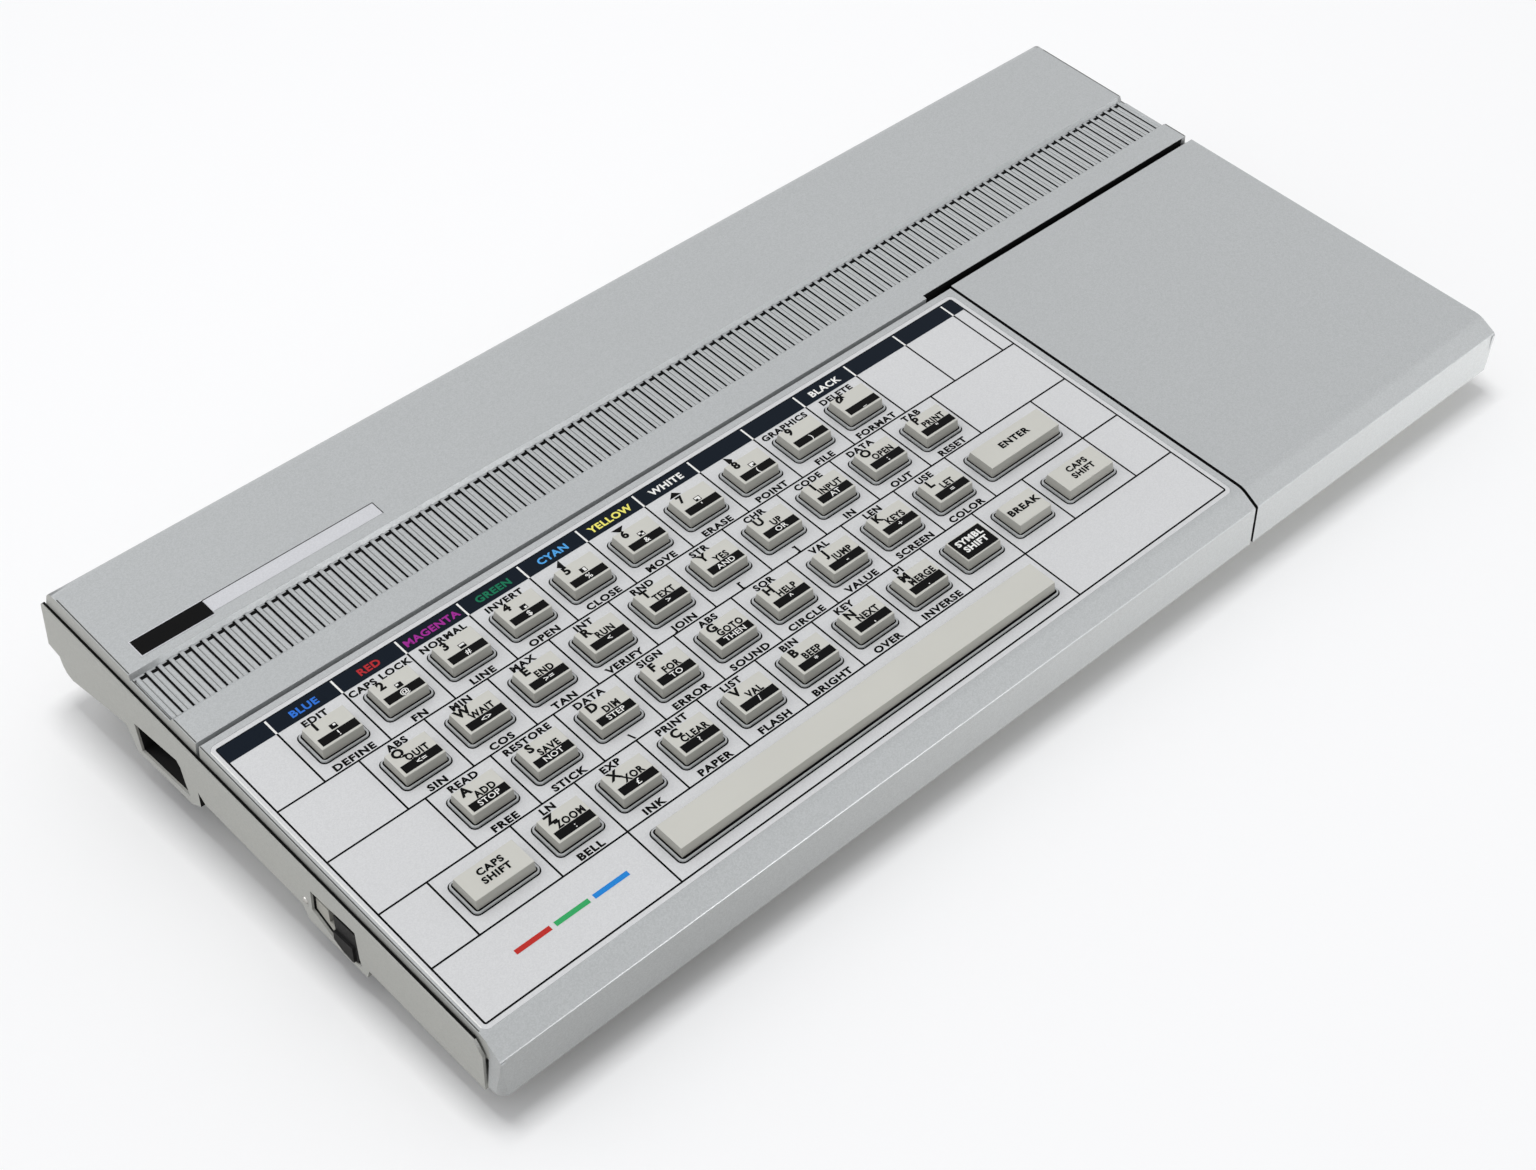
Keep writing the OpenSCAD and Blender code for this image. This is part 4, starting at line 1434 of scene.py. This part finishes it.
@dataclass(frozen=True)
class Studio:
    """Camera, floor, surroundings and lamps."""

    place: Corner = (-0.34206, -0.36932, 0.45204)
    forward: Corner = (0.48234, 0.54941, -0.68227)
    up: Corner = (0.48228, 0.48364, 0.73041)
    lens_mm: float = 57.954
    sensor_mm: float = 36.0
    floor_half: float = 6.0
    floor_colour: Colour = (0.95, 0.95, 0.955)
    sky: Colour = (0.985, 0.99, 1.0)
    floor_bounce: Colour = (0.80, 0.79, 0.77)
    # Painted bounce light: the floor glows, unseen by the camera, more to the right and to the front
    glow: float = 1.6
    glow_across: Point = (-0.12, 0.35)
    glow_ahead: Point = (-0.02, 0.12)
    sky_front: float = 0.40
    sky_rear: float = 0.86
    lamps: tuple[Lamp, ...] = (
        Lamp("Key_Lamp", (-0.85, 0.62, 1.5), 1.4, 14.0),
        Lamp("Fill_Lamp", (1.2, -0.95, 1.0), 1.0, 5.5, glossy=False),
        Lamp("Corner_Lamp", (0.50, -0.42, 0.05), 0.08, 0.15),
        Lamp("Sheen_Lamp", (0.95, -1.05, 1.27), 1.4, 2.0, diffuse=False),
        Lamp("Low_Sheen_Lamp", (0.28, -0.95, 0.10), 0.2, 4.5, diffuse=False),
        Lamp("Floor_Lamp", (0.0, 0.16, 1.8), 0.6, 13.6, Aim.FLOOR),
    )

    def build(self) -> None:
        """Set up the whole studio."""
        bpy.context.scene.view_settings.view_transform = "Standard"
        self._camera()
        floor = self._floor()
        self._world()
        for lamp in self.lamps:
            self._hang(lamp, floor)

    def _camera(self) -> None:
        """Create the camera."""
        data = bpy.data.cameras.new("Camera")
        data.lens = self.lens_mm
        data.sensor_width = self.sensor_mm
        data.sensor_fit = "HORIZONTAL"
        data.clip_start = 0.01
        camera = bpy.data.objects.new("Camera", data)
        bpy.context.scene.collection.objects.link(camera)
        back = -Vector(self.forward).normalized()
        right = Vector(self.up).cross(back).normalized()
        turn = Matrix((right, back.cross(right), back)).transposed()
        camera.matrix_world = Matrix.Translation(self.place) @ turn.to_4x4()
        bpy.context.scene.camera = camera

    def _floor(self) -> Object:
        """Create the pale floor, which also glows, unseen by the camera, as painted bounce light.

        Returns:
            The floor.
        """
        finish = Finish("Floor_Paper", specular=0.0)
        seen = finish.ray("Camera")
        ahead = finish.ramp(finish.along("Y") * -1.0, *self.glow_ahead)
        # painted bounce light from the floor, hidden from the camera
        glow = finish.ramp(finish.along("X"), *self.glow_across) * ahead * (1.0 - seen) * self.glow
        finish.fill(finish.shader, Emission_Color=WHITE, Emission_Strength=glow)
        shape = bmesh.new()
        square(shape, Matrix.Identity(4), self.floor_half)
        floor = stand("Floor", shape, finish.dress(finish.mix(seen, self.floor_bounce, self.floor_colour), 0.9))
        return floor

    def _world(self) -> None:
        """Light the scene from all round, more from the rear, and show white to the camera and in reflections."""
        world = bpy.data.worlds.new("Studio")
        world.use_nodes = True
        sky = Shading(world.node_tree, "Generated")
        strength = sky.node(
            "MapRange", Value=sky.along("Y"), From_Min=-1.0, To_Min=self.sky_front, To_Max=self.sky_rear
        )
        fill = sky.node("Background", Color=self.sky, Strength=strength.outputs[0])
        white = sky.node("Background", Color=WHITE)
        seen = sky.ray("Camera") | sky.ray("Glossy") | sky.ray("Transmission")
        blend = sky.node("MixShader")
        for socket, value in zip(blend.inputs, (seen, fill.outputs[0], white.outputs[0])):
            sky.feed(socket, value)
        sky.node("OutputWorld", Surface=blend.outputs[0])
        bpy.context.scene.world = world

    def _hang(self, lamp: Lamp, floor: Object) -> None:
        """Hang one lamp, turned to the middle of the machine.

        Args:
            lamp: The lamp.
            floor: The floor, which it lights alone or leaves out.
        """
        data = bpy.data.lights.new(lamp.name, "AREA")
        data.energy = lamp.watts
        data.size = lamp.size
        light = bpy.data.objects.new(lamp.name, data)
        bpy.context.scene.collection.objects.link(light)
        light.visible_diffuse = lamp.diffuse
        light.visible_glossy = lamp.glossy
        lit = bpy.data.collections.new(lamp.name + "_Lit")
        lit.objects.link(floor)
        lit.collection_objects[0].light_linking.link_state = lamp.aim.value
        light.light_linking.receiver_collection = lit
        light.location = lamp.place
        light.rotation_euler = (-Vector(lamp.place)).to_track_quat("-Z", "Y").to_euler()


# ---- assembly


GAP_SHADE_LOW = -16
EASED = {
    "top_case": Shell(
        "case", Edge(0.25, 2, 24, 5),
        (
            # painted shade: black faces in the gap behind the cartridge door
            Tint(Slot.BLACK, (66, 113.6, -6), (177.2, 115.5, -0.3)),
            # painted light: the side walls take the warmer lower-case finish for the warm light that falls on them
            Tint(Slot.LOWER, (179.08, 100, -16), (182, 200, -0.1), True),
        ),
        Chamfer(124.2, 0, 0.9), (-170, 170, 177.2),
    ),
    "keyboard_bezel": Shell(
        "case", Edge(0.2, 2),
        (
            # painted shade: black faces in the gap beside the cartridge door
            Tint(Slot.BLACK, (73, -1, GAP_SHADE_LOW), (73.3, 113, -0.3)),
            # painted shade: black faces down in the key openings
            Tint(Slot.BLACK, (-176, 9, -9), (69.5, 102, -0.42)),
            # painted light: the side walls take the warmer lower-case finish for the warm light that falls on them
            Tint(Slot.LOWER, (-182, 3, -16), (-179.08, 113, -0.1)),
        ),
    ),
    "bottom_case": Shell(
        "case", Edge(0.3, 2, 24, 2),
        (
            # painted shade: black walls deep in both joystick openings
            Tint(Slot.BLACK, (160, 117, -28), (179.95, 143.5, -12), True),
            # painted shade: black front ends of the skirts by the joystick openings
            Tint(Slot.BLACK, (160, 112.9, -26), (180.7, 114.9, -17.8), True),
            # painted shade: black walls deep in the switch opening
            Tint(Slot.BLACK, (-179.95, 49, -23), (-160, 69.5, -7.5)),
        ),
        cuts=(-179.95, 179.95),
    ),
    "cartridge_door": Shell(
        "cartridge_door", Edge(0.35, 3),
        (
            # painted shade: the door's faces in its gaps are black
            Tint(Slot.BLACK, (74, -1, GAP_SHADE_LOW), (74.3, 113.2, -0.4)),
            Tint(Slot.BLACK, (74, 112.8, GAP_SHADE_LOW), (181, 113.2, -0.4)),
        ),
    ),
    "power_switch_knob": Shell("power_switch_knob", Edge(0.15, 2)),
    "side_connectors": Shell(
        "case", Edge(0.12, 1),
        (
            # black socket plastic, and painted shade deep in the joystick openings
            Tint(Slot.BLACK, (150, 110, -40), (166.65, 150, 20), True),
            # painted shade: the switch's inner parts, deep in its recess, are black
            Tint(Slot.BLACK, (-176.05, 48, -21), (-150, 70, -8)),
            # the switch's plate takes the darker grey of the keys' painted side shade
            Tint(Print.SHADED_KEY_SIDE, (-179.8, 48, -21), (-176.05, 70, -8)),
            Tint(Print.GOLD, (168.72, 110, -40), (174.5, 150, 20), True),
        ),
    ),
}
# Painted shade on every key: black below the overlay, where its collar lies in shade, and a darker grey on its sides
KEY_SHELL_PAINTED_SHADE = (
    Tint(Slot.BLACK, (-200, 0, -9), (200, 120, -0.3)),
    Tint(Print.SHADED_KEY_SIDE, (-200, 0, 0), (200, 120, 2.9)),
)


def main() -> None:
    """Build the finished model on its frame."""
    logging.basicConfig(level=logging.INFO, format="%(name)s: %(message)s")
    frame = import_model()
    Studio().build()
    palette = {key: finish.build() for key, finish in FINISHES.items()}
    slot_of = {row["node"]: Slot(row["material_slot"]) for row in frame["record"]["subparts"]}
    for name, node in frame["nodes"].items():
        node.data.materials.clear()
        node.data.materials.append(palette[slot_of[name]])
    shells = Shells(frame, palette)
    for name, shell in EASED.items():
        shells.ease(name, slot_of[name], shell)
    for key in KEYS:
        shells.ease(key.node, Slot.KEY, Shell(key.node, Edge(0.2, 2), KEY_SHELL_PAINTED_SHADE))
    press = Press(palette, Lettering())
    for key in KEYS:
        KeyLegends().print(key, press)
    OverlayPrint().print(press)
    DeckLabels().print(press)
    VentRibs().build(press)
    SeamShade().build(press)
    Rivet().build(palette)
    RearFittings().build(palette)


if __name__ == "__main__":
    main()
